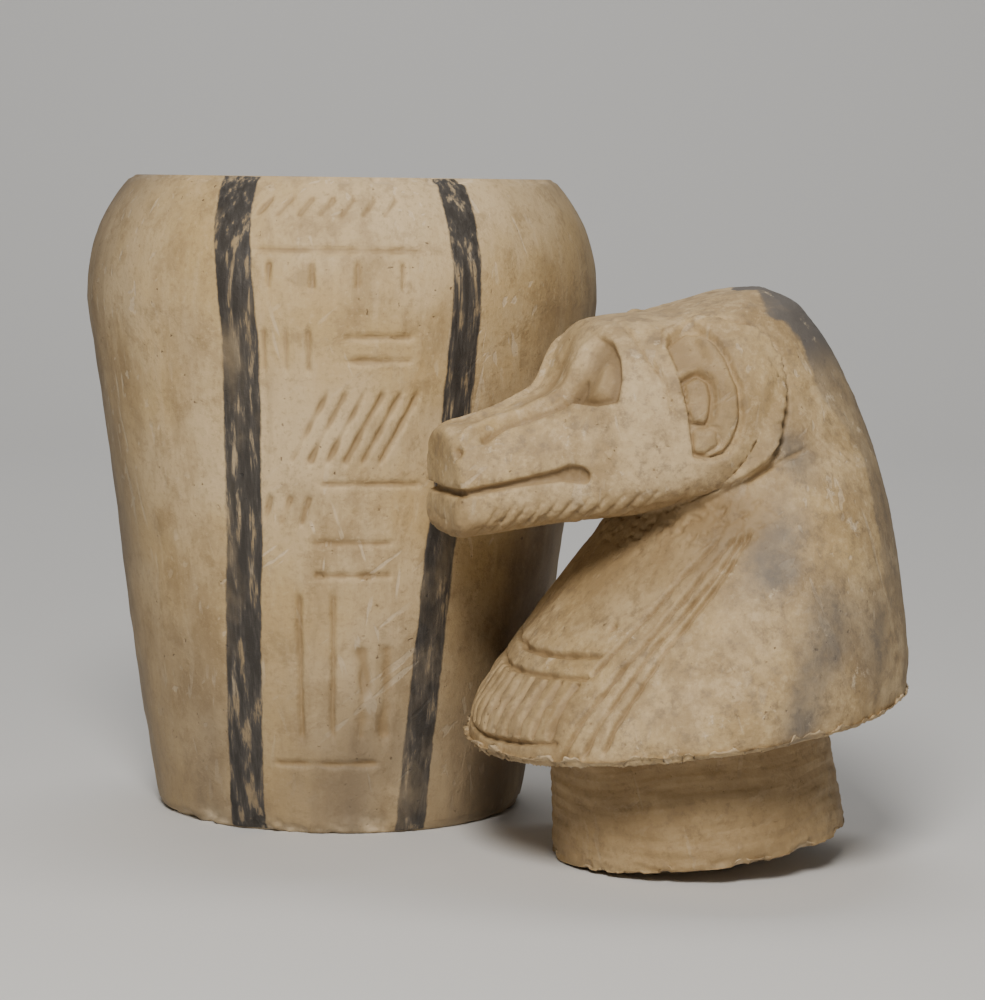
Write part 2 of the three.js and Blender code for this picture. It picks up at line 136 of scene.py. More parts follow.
def broken_patches(places, coarse, fine, share, lowest=0):
    """Where stone has flaked off, from two noises that are each a wavelength and a seed."""
    return np.clip(wave_noise(places, *coarse) + share * wave_noise(places, *fine), lowest, 2)


def line_distance(points, path):
    """How far 2-D points lie from a path of straight pieces, and how far along it the nearest place is."""
    nearest = np.full(len(points), np.inf)
    along = np.zeros(len(points))
    path = np.array(path, float)
    lengths = np.linalg.norm(np.diff(path, axis=0), axis=1)
    starts = np.concatenate([[0], np.cumsum(lengths)]) / lengths.sum()
    for i, (start, end) in enumerate(zip(path[:-1], path[1:])):
        step = end - start
        share = np.clip((points - start) @ step / (step @ step), 0, 1)
        gap = np.linalg.norm(points - start - share[:, None] * step, axis=1)
        closer = gap < nearest
        nearest[closer] = gap[closer]
        along[closer] = (starts[i] + share * (starts[i + 1] - starts[i]))[closer]
    return nearest, along


def outline_depth(points, outline):
    """Signed distance of 2-D points from a closed outline, positive inside it."""
    path = np.array(outline + outline[:1], float)
    gap = line_distance(points, path)[0]
    inside = np.zeros(len(points), bool)
    for (x0, y0), (x1, y1) in zip(path[:-1], path[1:]):
        if y0 == y1:
            continue
        crosses = (y0 > points[:, 1]) != (y1 > points[:, 1])
        reach = x0 + (points[:, 1] - y0) * (x1 - x0) / (y1 - y0)
        inside ^= crosses & (points[:, 0] < reach)
    return np.where(inside, gap, -gap)


def along_stations(rows):
    """Rows of numbers, one row a station, as a smooth function of the first number."""
    table = np.array(rows)
    places, sizes = table[:, 0], table[:, 1:]
    slopes = np.gradient(sizes, places, axis=0)

    def at(place):
        place = np.clip(np.asarray(place, float), places[0], places[-1])
        i = np.clip(np.searchsorted(places, place, side="right") - 1, 0, len(places) - 2)
        span = (places[i + 1] - places[i])[..., None]
        t = (place - places[i])[..., None] / span
        start = (1 + 2 * t) * (1 - t) ** 2 * sizes[i] + t * (1 - t) ** 2 * span * slopes[i]
        end = t * t * (3 - 2 * t) * sizes[i + 1] + t * t * (t - 1) * span * slopes[i + 1]
        return np.moveaxis(start + end, -1, 0)

    return at


# %% [markdown]
# A chisel leaves a V-shaped line. Its depth falls off smoothly from the middle, its ends taper out, and
# neither its width nor its depth is quite even. One function makes them all. A second one makes the thin
# line that separates two shapes, such as the line round an ear.


# %% Carved lines
def chiselled(points, path, width, depth, unevenness, taper=0.08):
    gap, along = line_distance(points, path)
    half = width / 2 * (1 + 0.25 * unevenness)
    profile = 1 - ease(0.0, 1.0, gap / half)
    ends = ease(0, taper, along + taper / 3) * ease(0, taper, 1 - along + taper / 3)
    return depth * profile * ends * (1 + 0.3 * unevenness)


def outlined(depth_inside, half_width, depth):
    return depth * (1 - ease(0, half_width, np.abs(depth_inside)))


# %% [markdown]
# ## Making and reading meshes
# These helpers turn rings of vertices into closed tubes, make objects, and read and write vertices as
# NumPy arrays. An attribute keeps one number for each vertex, and the material reads it by name.


# %% Meshes
def tube(rings):
    """Vertices and faces of a closed tube from an array of rings, shape (rows, columns, 3)."""
    rows, columns = rings.shape[:2]
    vertices = np.concatenate([rings.reshape(-1, 3), rings[0].mean(0)[None], rings[-1].mean(0)[None]])
    row, column = np.meshgrid(np.arange(rows - 1), np.arange(columns), indexing="ij")
    after = (column + 1) % columns
    quads = np.stack([row * columns + column, row * columns + after,
                      (row + 1) * columns + after, (row + 1) * columns + column], -1).reshape(-1, 4)
    ring = np.arange(columns)
    following = (ring + 1) % columns
    first, last = rows * columns, rows * columns + 1
    low_cap = np.stack([following, ring, np.full(columns, first)], 1)
    top = (rows - 1) * columns
    high_cap = np.stack([top + ring, top + following, np.full(columns, last)], 1)
    return vertices, quads.tolist() + low_cap.tolist() + high_cap.tolist()


def make_object(name, vertices, faces):
    mesh = bpy.data.meshes.new(name)
    mesh.from_pydata(np.asarray(vertices).tolist(), [], faces)
    mesh.validate()
    piece = bpy.data.objects.new(name, mesh)
    bpy.context.scene.collection.objects.link(piece)
    return piece


def read_vertices(mesh, what="co"):
    """Places of the vertices, or their normals, as an array."""
    values = np.empty(len(mesh.vertices) * 3)
    mesh.vertices.foreach_get(what, values)
    return values.reshape(-1, 3)


def write_vertices(mesh, places):
    mesh.vertices.foreach_set("co", np.ascontiguousarray(places).ravel())
    mesh.update()


def store(mesh, name, values):
    layer = mesh.attributes.new(name, "FLOAT", "POINT")
    layer.data.foreach_set("value", np.asarray(values, np.float32))


def triangle_count(mesh):
    return sum(len(face.vertices) - 2 for face in mesh.polygons)


def volume(mesh):
    """Volume inside a closed mesh: positive when its faces look outwards."""
    mesh.calc_loop_triangles()
    corners = np.empty(len(mesh.loop_triangles) * 3, np.int32)
    mesh.loop_triangles.foreach_get("vertices", corners)
    a, b, c = read_vertices(mesh)[corners.reshape(-1, 3)].transpose(1, 0, 2)
    return (a * np.cross(b, c)).sum() / 6


def apply_modifiers(piece):
    """Replace a piece's mesh with the result of its modifiers, and drop the modifiers."""
    graph = bpy.context.evaluated_depsgraph_get()
    result = bpy.data.meshes.new_from_object(piece.evaluated_get(graph))
    old = piece.data
    piece.modifiers.clear()
    piece.data = result
    bpy.data.meshes.remove(old)
    result.shade_smooth()


# %% [markdown]
# ## Materials first
# Shader maths is easier to read as formulas. One small class wraps a socket, so that plus, minus and times
# add Math nodes. A second one wraps a node tree, and its one method adds any node. The lathe below uses both
# too, because Geometry Nodes has the same Math node.


# %% Formulas for nodes
class Field:
    """A value that varies over the surface, for use in formulas."""

    def __init__(self, nodes, socket):
        self.nodes = nodes
        self.socket = socket

    def math(self, operation, *others):
        return self.nodes.add("ShaderNodeMath", {"operation": operation}, self, *others)

    def __add__(self, other):
        return self.math("ADD", other)

    def __sub__(self, other):
        return self.math("SUBTRACT", other)

    def __rsub__(self, other):
        return (self * -1) + other

    def __mul__(self, other):
        return self.math("MULTIPLY", other)

    __radd__ = __add__
    __rmul__ = __mul__

    def clamp(self):
        return self.nodes.add("ShaderNodeClamp", {}, self)

    def ramp(self, low, high):
        """Smoothly from 0 at low to 1 at high."""
        settings = {"interpolation_type": "SMOOTHSTEP"}
        return self.nodes.add("ShaderNodeMapRange", settings, self, low, high, 0.0, 1.0)

    def parts(self):
        """The X, Y and Z of a vector."""
        split = self.nodes.add("ShaderNodeSeparateXYZ", {}, self).socket.node
        return [Field(self.nodes, socket) for socket in split.outputs]


class Graph:
    """A node tree, and a method that adds any node to it."""

    def __init__(self, tree):
        self.tree = tree

    def plug(self, socket, value):
        if isinstance(value, Field):
            self.tree.links.new(value.socket, socket)
        elif isinstance(value, (tuple, list)) and socket.type == "RGBA":
            socket.default_value = (*value, 1.0)
        else:
            socket.default_value = value

    def add(self, kind, settings, *inputs, output=0, **named):
        node = self.tree.nodes.new(kind)
        for name, value in settings.items():
            setattr(node, name, value)
        for index, value in enumerate(inputs):
            self.plug(node.inputs[index], value)
        for name, value in named.items():
            self.plug(node.inputs[name], value)
        return Field(self, node.outputs[output])


class Stone(Graph):
    """A material's node tree, with the nodes that stone needs."""

    def __init__(self, name):
        self.material = bpy.data.materials.new(name)
        self.material.use_nodes = True
        super().__init__(self.material.node_tree)
        self.spot = self.add("ShaderNodeTexCoord", {}, output=3)

    def noise(self, scale, detail=3.0, roughness=0.55, length=1, turn=(0, 0, 0)):
        """Noise on the object's own coordinates, drawn out along Z by a length and then turned."""
        settings = {"vector_type": "TEXTURE"}
        place = self.add("ShaderNodeMapping", settings, self.spot, (0, 0, 0), turn, (1, 1, length))
        sizes = {"Scale": scale, "Detail": detail, "Roughness": roughness}
        return self.add("ShaderNodeTexNoise", {}, Vector=place, **sizes)

    def attribute(self, name):
        return self.add("ShaderNodeAttribute", {"attribute_name": name}, output=2)

    def mix(self, share, first, second):
        node = self.tree.nodes.new("ShaderNodeMix")
        node.data_type = "RGBA"
        self.plug(node.inputs[0], share)
        self.plug(node.inputs[6], first)
        self.plug(node.inputs[7], second)
        return Field(self, node.outputs[2])

    def layers(self, colour, *coats):
        """A colour under coats of other colours, each with the share that it covers."""
        for share, coat in coats:
            colour = self.mix(share, colour, coat)
        return colour

    def finish(self, colour, roughness, height):
        bump = self.add("ShaderNodeBump", {}, Height=height, Distance=BUMP_HEIGHT, Strength=BUMP_STRENGTH)
        shader = self.tree.nodes["Principled BSDF"]
        for name, value in {"Base Color": colour, "Roughness": roughness, "Normal": bump}.items():
            self.plug(shader.inputs[name], value)
        return self.material


# %% [markdown]
# The limestone is a warm cream with paler clouds, ochre in what was cut or rubbed, and fine dark pores.
# Handling and cleaning have left hair-thin pale scratches in several directions. It is the same stone on
# both pieces, so both materials start from one function.

# %% Limestone
CREAM = (0.50, 0.345, 0.155)
PALE = (0.61, 0.46, 0.265)
OCHRE = (0.275, 0.18, 0.08)
# Dark brown for grime and mottles, and for painted shade on the jar's sides.
GRIME_AND_SHADE = (0.17, 0.125, 0.078)
BROWN = (0.11, 0.066, 0.03)
GREY = (0.12, 0.105, 0.09)
INK = (0.02, 0.018, 0.017)
WORN_INK = (0.10, 0.09, 0.08)
FRESH = (0.68, 0.55, 0.37)
SCRATCH_TILTS = (0.12, -0.3, 0.9)
BUMP_HEIGHT = 0.4 * MM
BUMP_STRENGTH = 0.8


def limestone(nodes, streak_length):
    """Colour, roughness and height of the bare stone, with fine streaks along Z."""
    clouds = nodes.noise(14.0, 5.0, 0.6).ramp(0.36, 0.66)
    warm = nodes.noise(24.0, 6.0, 0.65, 1.6).ramp(0.48, 0.7)
    blotches = nodes.noise(85.0, 5.0, 0.7).ramp(0.5, 0.66)
    streaks = nodes.noise(130.0, 4.0, 0.65, streak_length)
    scratches = None
    for tilt in SCRATCH_TILTS:
        lines = nodes.noise(230.0, 2.0, 0.5, 24, (0, tilt, 0)).ramp(0.66, 0.70)
        scratches = lines if scratches is None else scratches.math("MAXIMUM", lines)
    rubbed = nodes.noise(18.0, 3.0, 0.5).ramp(0.4, 0.6)
    scratches = scratches * (rubbed * 0.8 + 0.1)
    pores = nodes.noise(430.0, 2.0, 0.5).ramp(0.70, 0.76) * nodes.noise(30.0, 2.0).ramp(0.4, 0.6)
    grain = nodes.noise(520.0, 5.0, 0.7)
    colour = nodes.layers(
        CREAM, (clouds * 0.85, PALE), (warm * 0.7, OCHRE), (blotches * 0.46, OCHRE),
        (streaks.ramp(0.52, 0.7) * 0.35, PALE), (streaks.ramp(0.48, 0.3) * 0.3, OCHRE),
        (scratches * 0.7, FRESH), (pores * 0.75, BROWN),
        (grain.ramp(0.5, 0.7) * 0.4, OCHRE), (grain.ramp(0.46, 0.3) * 0.4, PALE),
    )
    height = grain * 0.8 + streaks * 0.6 + blotches * 0.35 - pores * 0.9 - scratches * 0.35
    roughness = clouds * 0.12 + warm * 0.1 + 0.6
    return colour, roughness, height


def cut_and_broken(nodes, colour):
    """Ochre in the cuts, brown painted shade in the deepest ones, and pale stone where an edge has flaked.
    """
    # A noise that makes the ochre in the cuts and the pale of the breaks uneven.
    shade_and_dirt = nodes.noise(60.0, 5.0, 0.6).ramp(0.3, 0.7)
    carving = nodes.attribute("carving")
    broken = nodes.attribute("breakage").clamp()
    return nodes.layers(
        colour, (carving.ramp(0.25, 1.0) * (shade_and_dirt * 0.35 + 0.5), OCHRE),
        # Brown painted shade in the deepest cuts.
        (carving.ramp(1.2, 2.0) * 0.4, BROWN), (broken * (shade_and_dirt * 0.6 + 0.15), FRESH),
    )


# %% [markdown]
# The bands are paint, with no thickness. An attribute says how far each place is from the nearest band's
# edge. Noise frays that edge, and long vertical streaks show where the paint has worn off.


# %% The jar's material
def jar_material():
    nodes = Stone("painted_limestone")
    colour, roughness, height = limestone(nodes, 14)
    # Darker towards the foot, and painted shade on the two sides.
    dark_foot_and_side_shade = nodes.attribute("dark_foot_and_side_shade")
    uneven_darkening = nodes.noise(26.0, 5.0, 0.6, 2.5).ramp(0.3, 0.7)
    colour = nodes.mix(dark_foot_and_side_shade * (uneven_darkening * 0.5 + 0.38), colour, GRIME_AND_SHADE)
    colour = cut_and_broken(nodes, colour)
    fray = nodes.noise(170.0, 5.0, 0.7, 2) * 2.6 - 1.3
    edge = nodes.attribute("band_gap") + fray
    paint = edge.ramp(0.5, -0.5)
    worn = nodes.noise(300.0, 5.0, 0.65, 16)
    patches = nodes.noise(20.0, 5.0, 0.6, 2.2)
    streaky = worn.ramp(0.66, 0.54) * 0.6 + 0.4
    faded = patches.ramp(0.66, 0.5) * 0.4 + 0.6
    strength = (paint * streaky * faded * 0.97).clamp()
    ink = nodes.mix((worn.ramp(0.4, 0.65) * 0.6 + patches.ramp(0.5, 0.64) * 0.4).clamp(), INK, WORN_INK)
    colour = nodes.layers(colour, (strength, ink), (nodes.attribute("inside") * 0.45, OCHRE))
    return nodes.finish(colour, roughness, height)


# %% [markdown]
# On the lid a grey stain lies on the crown and runs on, weaker, down the back. There are soft grey smudges
# on the cape. Brown painted shade lies under the jaw, on the fringe and on the plug under the cape, and
# brown grime with painted shade lies in the ear. Attributes say where.


# %% The lid's material
def lid_material():
    nodes = Stone("stained_limestone")
    colour, roughness, height = limestone(nodes, 3)
    ragged = nodes.noise(70.0, 6.0, 0.65)
    broad = nodes.noise(24.0, 5.0, 0.6)
    mottles = nodes.noise(170.0, 6.0, 0.75)
    edge = nodes.attribute("stain_gap") + ragged * 9.0 - 4.5
    stain = edge.ramp(-1.2, 1.6) * (broad.ramp(0.66, 0.42) * 0.4 + 0.6)
    stain = stain * nodes.attribute("stain_share")
    smudge = (nodes.attribute("smudge") * (ragged * 1.5 + 0.2)).clamp()
    smudge = smudge * (broad.ramp(0.3, 0.55) * 0.6 + 0.4)
    # Brown painted shade under the jaw, on the fringe and on the plug, and grime with it in the ear.
    shade_and_dirt = nodes.attribute("shade_and_dirt")
    flecks = nodes.noise(240.0, 4.0, 0.7).ramp(0.56, 0.66)
    scuffs = nodes.noise(95.0, 6.0, 0.75).ramp(0.6, 0.7) * (1 - shade_and_dirt)
    colour = nodes.layers(
        colour, (ragged.ramp(0.4, 0.62) * 0.45 + 0.15, OCHRE),
        (mottles.ramp(0.5, 0.64) * 0.4, GRIME_AND_SHADE), (mottles.ramp(0.48, 0.36) * 0.4, PALE),
        (stain.math("MAXIMUM", smudge * 0.8), GREY),
        (shade_and_dirt * (broad.ramp(0.3, 0.65) * 0.4 + 0.55), OCHRE), (shade_and_dirt * flecks * 0.3, BROWN),
        (scuffs * 0.6, FRESH),
    )
    colour = cut_and_broken(nodes, colour)
    return nodes.finish(colour, roughness, height + scuffs * 0.4)


stone_of_jar = jar_material()
stone_of_lid = lid_material()
print("materials", stone_of_jar.name, stone_of_lid.name)

# %% [markdown]
# ## The jar
# A turned jar is a profile swept round its axis, which is a rule, so a Geometry Nodes tree makes it. The
# tree bends a flat grid: a grid's X says how far round the jar a vertex is, and its Y says which point of
# the profile it takes its radius and height from. The carving needs a fine grid only where the strokes are,
# so the tree crowds its columns into a given angle at the front and spreads the rest behind it.


# %% A lathe in Geometry Nodes
def lathe_tree():
    """The tree, and the identifier of each of its inputs by name."""
    inputs = {"Rows": "NodeSocketInt", "Columns": "NodeSocketInt", "Fine angle": "NodeSocketFloat",
              "Fine share": "NodeSocketFloat", "Material": "NodeSocketMaterial"}
    lathe = Graph(bpy.data.node_groups.new("lathe", "GeometryNodeTree"))
    interface = lathe.tree.interface
    for direction in ("INPUT", "OUTPUT"):
        interface.new_socket("Geometry", in_out=direction, socket_type="NodeSocketGeometry")
    sockets = {label: interface.new_socket(label, in_out="INPUT", socket_type=kind)
               for label, kind in inputs.items()}
    entry = lathe.tree.nodes.new("NodeGroupInput")
    profile, rows, columns, fine, fine_share, material = (Field(lathe, s) for s in entry.outputs[:6])

    grid = lathe.add("GeometryNodeMeshGrid", {}, 1.0, 1.0, columns, rows)
    position = lathe.add("GeometryNodeInputPosition", {})
    across, upward = (part + 0.5 for part in position.parts()[:2])
    row = (upward * (rows - 1.0)).math("ROUND")
    point = lathe.add("GeometryNodeSampleIndex", {"data_type": "FLOAT_VECTOR"}, profile, position, row)
    side = (1.0 - fine_share) * 0.5
    far_side = 1.0 - side
    rest = math.pi - fine
    angle = lathe.add("ShaderNodeMapRange", {}, across, 0.0, side, rest * -1.0, 0.0)
    angle += lathe.add("ShaderNodeMapRange", {}, across, side, far_side, fine * -1.0, fine)
    angle += lathe.add("ShaderNodeMapRange", {}, across, far_side, 1.0, 0.0, rest)
    radius, _, height = point.parts()
    x = radius * angle.math("SINE")
    y = radius * angle.math("COSINE") * -1.0
    bent = lathe.add("ShaderNodeCombineXYZ", {}, x, y, height)
    moved = lathe.add("GeometryNodeSetPosition", {}, grid, Position=bent)
    welded = lathe.add("GeometryNodeMergeByDistance", {}, moved, Distance=WELD_DISTANCE)
    real = lathe.add("GeometryNodeRealizeInstances", {}, welded)
    made = lathe.add("GeometryNodeSetMaterial", {}, real, Material=material)
    way_out = lathe.tree.nodes.new("NodeGroupOutput")
    lathe.plug(way_out.inputs[0], made)
    return lathe.tree, {label: socket.identifier for label, socket in sockets.items()}


def turned(name, profile, columns, fine_angle, fine_share, material):
    """A closed solid of revolution from radii and heights that start and end on the axis."""
    piece = make_object(name, [(radius, 0, height) for radius, height in profile], [])
    modifier = piece.modifiers.new("lathe", "NODES")
    modifier.node_group = lathe
    values = {"Rows": len(profile), "Columns": columns, "Fine angle": fine_angle, "Fine share": fine_share,
              "Material": material}
    for label, value in values.items():
        modifier[lathe_inputs[label]] = value
    apply_modifiers(piece)
    return piece


lathe, lathe_inputs = lathe_tree()
print("lathe tree nodes", len(lathe.nodes))


# %% [markdown]
# The profile runs from the middle of the base out round the foot, up the wall, over the rim, down the
# mouth and the hollow, and back to the axis on the hollow's floor.


# %% Profile of the jar
def jar_radius(height):
    share = np.clip(height / SHOULDER_HEIGHT, 0, 1)
    wall = BASE_RADIUS + (SHOULDER_RADIUS - BASE_RADIUS) * share + WALL_BULGE * 4 * share * (1 - share)
    rise = np.clip((height - SHOULDER_HEIGHT) / (JAR_HEIGHT - SHOULDER_HEIGHT), 0, 1)
    shoulder = SHOULDER_RADIUS - (SHOULDER_RADIUS - RIM_RADIUS) * rise ** SHOULDER_ROUNDNESS
    return np.where(height < SHOULDER_HEIGHT, wall, shoulder)


def quarter(centre_radius, centre_height, size, start, steps):
    """Points of a quarter circle in the profile, from a start angle in degrees."""
    turns = np.radians(start + np.linspace(0, 90, steps))
    return [(centre_radius + size * math.cos(t), centre_height + size * math.sin(t)) for t in turns]


def straight(start, end, steps):
    return list(zip(np.linspace(start[0], end[0], steps), np.linspace(start[1], end[1], steps)))[1:]


def jar_profile():
    mouth_end = JAR_HEIGHT - MOUTH_DEPTH
    base = [(0, 0)] + straight((0, 0), (BASE_RADIUS - BASE_EDGE, 0), 10)
    foot = quarter(BASE_RADIUS - BASE_EDGE, BASE_EDGE, BASE_EDGE, 270, 5)[1:]
    heights = np.linspace(BASE_EDGE + MM, JAR_HEIGHT - RIM_EDGE, WALL_ROWS)
    wall = list(zip(jar_radius(heights), heights))
    rim = quarter(RIM_RADIUS - RIM_EDGE, JAR_HEIGHT - RIM_EDGE, RIM_EDGE, 0, 4)[1:]
    flat = straight(rim[-1], (MOUTH_RADIUS + RIM_EDGE / 2, JAR_HEIGHT), 9)
    lip = [(MOUTH_RADIUS, JAR_HEIGHT - RIM_EDGE / 2)]
    mouth = straight(lip[0], (MOUTH_RADIUS, mouth_end), 16)
    belly = straight(mouth[-1], (BELLY_RADIUS, mouth_end - BELLY_DROP), 9)
    taper = straight(belly[-1], (HOLLOW_FLOOR_RADIUS, FLOOR_THICKNESS + FLOOR_CORNER), 27)
    corner_middle = HOLLOW_FLOOR_RADIUS - FLOOR_CORNER
    corner = quarter(corner_middle, FLOOR_THICKNESS + FLOOR_CORNER, FLOOR_CORNER, 270, 7)[::-1][1:]
    floor = straight(corner[-1], (0, FLOOR_THICKNESS), 7)
    return base + foot + wall + rim + flat + lip + mouth + belly + taper + corner + floor


profile = jar_profile()
jar = turned("jar_stone", profile, JAR_COLUMNS, FINE_ANGLE, FINE_SHARE, stone_of_jar)
print("jar rows", len(profile), "triangles", triangle_count(jar.data), "volume", round(volume(jar.data), 6))

# %% [markdown]
# The strokes stand in rows down the front, in the places where a carved column would have its signs. Each
# row is a few numbers. The first four are the height, the place across, and the step across and down from
# one stroke to the next. Then come how many there are, how far each reaches across and up, and its width.
# Heights are shares of the jar's, places across are shares of the column's half width.

# %% Rows of strokes
FINE = 3.6 * MM
BROAD = 7.5 * MM
STROKE_DEPTH = 1.3 * MM
STROKE_ROWS = [
    (0.955, -0.55, 0.17, 0, 7, 0.06, 0.014, FINE),
    (0.892, 0.04, 0, 0, 1, 0.66, 0, FINE),
    (0.855, -0.46, 0.33, 0, 4, 0, 0.019, FINE),
    (0.745, -0.5, 0.17, 0, 3, 0, 0.032, FINE),
    (0.765, 0.36, 0, 0.035, 2, 0.26, 0, FINE),
    (0.63, -0.16, 0.14, 0, 6, 0.15, 0.055, FINE),
    (0.545, 0.33, 0, 0, 1, 0.42, 0, FINE),
    (0.505, -0.52, 0.16, 0, 3, 0.04, 0.022, FINE),
    (0.455, 0.2, 0, 0.05, 2, 0.34, 0, FINE),
    (0.265, -0.27, 0.3, 0, 2, 0, 0.115, FINE),
    (0.225, 0.3, 0.22, 0, 2, 0, 0.075, BROAD),
    (0.112, -0.04, 0, 0, 1, 0.52, 0, FINE),
]


def stroke_depths(angle, height, unevenness):
    """Depth of the carved strokes at places on the wall."""
    total = np.zeros(len(angle))
    for top, first, step, drop, count, reach, rise, width in STROKE_ROWS:
        for i in range(count):
            middle = np.array([first + i * step, top - i * drop])
            level = middle[1] * JAR_HEIGHT
            radius = float(jar_radius(level))
            scale = np.array([COLUMN_HALF_ANGLE * radius, JAR_HEIGHT])
            half = np.array([reach, rise])
            near = np.abs(height - level) < rise * JAR_HEIGHT + 2 * width
            points = np.stack([angle[near] * radius, height[near]], 1)
            path = [(middle - half) * scale, (middle + half) * scale]
            cut = chiselled(points, path, width, STROKE_DEPTH, unevenness[near], taper=0.1)
            total[near] = np.maximum(total[near], cut)
    return total


# %% [markdown]
# The two bands aren't quite straight. Each one has its middle, as an angle from the front, at a few
# heights, and its half width. The distance past its edge is kept in millimetres for the shader.

# %% The painted bands
LEFT_BAND = [(0, -26.2), (64, -23.6), (109, -21.4), (175, -19.8), (196, -20.2), (217, -22.2), (240, -24.6)]
RIGHT_BAND = [(0, 25.0), (45, 25.8), (90, 27.0), (150, 29.2), (200, 29.9), (240, 30.6)]
BAND_HALF_WIDTHS = (7.2, 5.9)
UNPAINTED = 30


def band_gap(turn, height, radius):
    """Millimetres from the nearest band's edge, negative in the paint."""
    gaps = []
    for band, half_width in zip((LEFT_BAND, RIGHT_BAND), BAND_HALF_WIDTHS):
        heights, middles = np.array(band).T
        middle = np.radians(np.interp(height / MM, heights, middles))
        gaps.append(np.abs(turn - middle) * radius / MM - half_width)
    return np.minimum(*gaps)


# %% [markdown]
# The jar is worn. Its foot has lost flakes all round the edge, the rim has small chips, and the wall isn't
# quite true. Each of these is one more function of the place on the wall. Everything cuts inwards, because
# stone is only ever lost: even the slow unevenness starts from a thin skin that is taken off all over. The
# colour darkens towards the foot, and painted shade darkens the two sides.


# %% Carve and wear the jar
JAR_SKIN = 0.45 * MM
FRESH_DEPTH = 2 * MM


def wear_jar():
    mesh = jar.data
    places = read_vertices(mesh)
    height = places[:, 2]
    radius = np.hypot(places[:, 0], places[:, 1])
    turn = np.arctan2(places[:, 0], -places[:, 1])
    on_top = height > JAR_HEIGHT - 0.1 * MM
    outside = (radius > jar_radius(height) - 4 * MM) | (height < FLOOR_THICKNESS - MM) | on_top
    unevenness = wave_noise(places, 9, 3)
    strokes = np.zeros(len(places))
    wall = outside & (np.abs(turn) < COLUMN_HALF_ANGLE) & (height < JAR_HEIGHT - 2 * MM) & (height > MM)
    strokes[wall] = stroke_depths(turn[wall], height[wall], unevenness[wall])
    slow = 0.4 * MM * wave_noise(places, 70, 5) + 0.16 * MM * wave_noise(places, 14, 7)
    fine = 0.06 * MM * wave_noise(places * [1, 1, 0.25], 3.5, 11)
    foot_height = 8 * MM + 5 * MM * wave_noise(places, 30, 13)
    foot = 1 - ease(0, 1, height / np.maximum(foot_height, 2 * MM))
    flakes = broken_patches(places, (11, 17), (4, 19), 0.4)
    foot_loss = foot * (0.5 + 2.0 * flakes) * MM
    to_rim = np.hypot(JAR_HEIGHT - height, np.minimum(RIM_RADIUS - radius, 10 * MM))
    rim_near = 1 - ease(0, 4 * MM, to_rim)
    rim_loss = rim_near * np.clip(wave_noise(places, 9, 23) - 0.25, 0, 1) * 2.2 * MM
    loss = strokes + foot_loss + rim_loss + JAR_SKIN - np.clip(slow + fine, -0.6 * MM, JAR_SKIN)
    loss *= np.where(on_top, ease(MOUTH_RADIUS + MM, RIM_RADIUS - 2 * MM, radius), outside)
    ripples = np.abs(0.25 * MM * wave_noise(places, 12, 29))
    ripples *= ease(0, 3 * MM, JAR_HEIGHT - height)
    loss = np.where(outside | (radius < 10 * MM), loss, -ripples)
    places[:, :2] *= (1 - loss / np.maximum(radius, MM))[:, None]
    places[:, 2] -= rim_loss * 0.6
    write_vertices(mesh, places)
    store(mesh, "carving", strokes / STROKE_DEPTH)
    store(mesh, "breakage", (foot_loss + rim_loss) / FRESH_DEPTH)
    store(mesh, "inside", 1.0 * ~outside)
    # Painted shade on the two sides, stronger on the left, and a darker colour towards the foot.
    sides = np.maximum(ease(-0.7, -1.3, turn), 0.7 * ease(0.65, 1.3, turn))
    sides *= ease(2.7, 1.9, np.abs(turn))
    store(mesh, "dark_foot_and_side_shade", np.maximum(ease(120 * MM, 5 * MM, height), sides))
    painted = outside & (height > 0.3 * MM) & ~on_top
    store(mesh, "band_gap", np.where(painted, band_gap(turn, height, radius), UNPAINTED))


wear_jar()
jar.data.materials.clear()
jar.data.materials.append(stone_of_jar)
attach(jar, "root")
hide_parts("jar")
print("jar volume after wear", round(volume(jar.data), 6))

# %% [markdown]
# ## The lid's main forms
# The lid is a bell-shaped cape that closes over the crown, a head that grows out of its front, and a plug
# below. A sculptor would block these out and blend them. Here each one is a tube of rings from a table of
# stations, and a voxel Remesh joins them into one skin that is fine enough to carve.

# %% Stations of the cape and the head
cape_at = along_stations([
    [0.0, 1.0, 1.0, 1.0],
    [0.08, 1.0, 0.935, 0.99],
    [0.19, 1.0, 0.758, 0.944],
    [0.36, 0.991, 0.431, 0.841],
    [0.46, 0.978, 0.248, 0.77],
    [0.54, 0.965, 0.15, 0.702],
    [0.635, 0.941, 0.17, 0.627],
    [0.73, 0.898, 0.236, 0.579],
    [0.825, 0.835, 0.255, 0.529],
    [0.91, 0.752, 0.195, 0.45],
    [0.965, 0.675, 0.04, 0.34],
    [1.0, 0.56, -0.28, 0.16],
])
head_at = along_stations([
    [-0.27, 0.925, 0.71, 0.83, 0.2],
    [-0.18, 0.962, 0.63, 0.76, 0.295],
    [-0.07, 0.974, 0.57, 0.71, 0.318],
    [0.02, 0.978, 0.54, 0.69, 0.318],
    [0.1, 0.98, 0.525, 0.67, 0.297],
    [0.155, 0.972, 0.52, 0.66, 0.274],
    [0.195, 0.934, 0.52, 0.65, 0.25],
    [0.25, 0.852, 0.52, 0.64, 0.215],
    [0.32, 0.815, 0.52, 0.635, 0.182],
    [0.42, 0.79, 0.52, 0.63, 0.154],
    [0.5, 0.784, 0.52, 0.63, 0.137],
    [0.545, 0.779, 0.522, 0.63, 0.13],
])
HEAD_BACK = -0.27
MUZZLE_END = 0.545
MUZZLE_EDGE = 0.023
UPPER_ROUNDNESS = 2.4
LOWER_ROUNDNESS = 3.4
CHIN_REACH = 0.018
CHIN_LEVEL = 0.56
CHIN_HALF_HEIGHT = 0.07
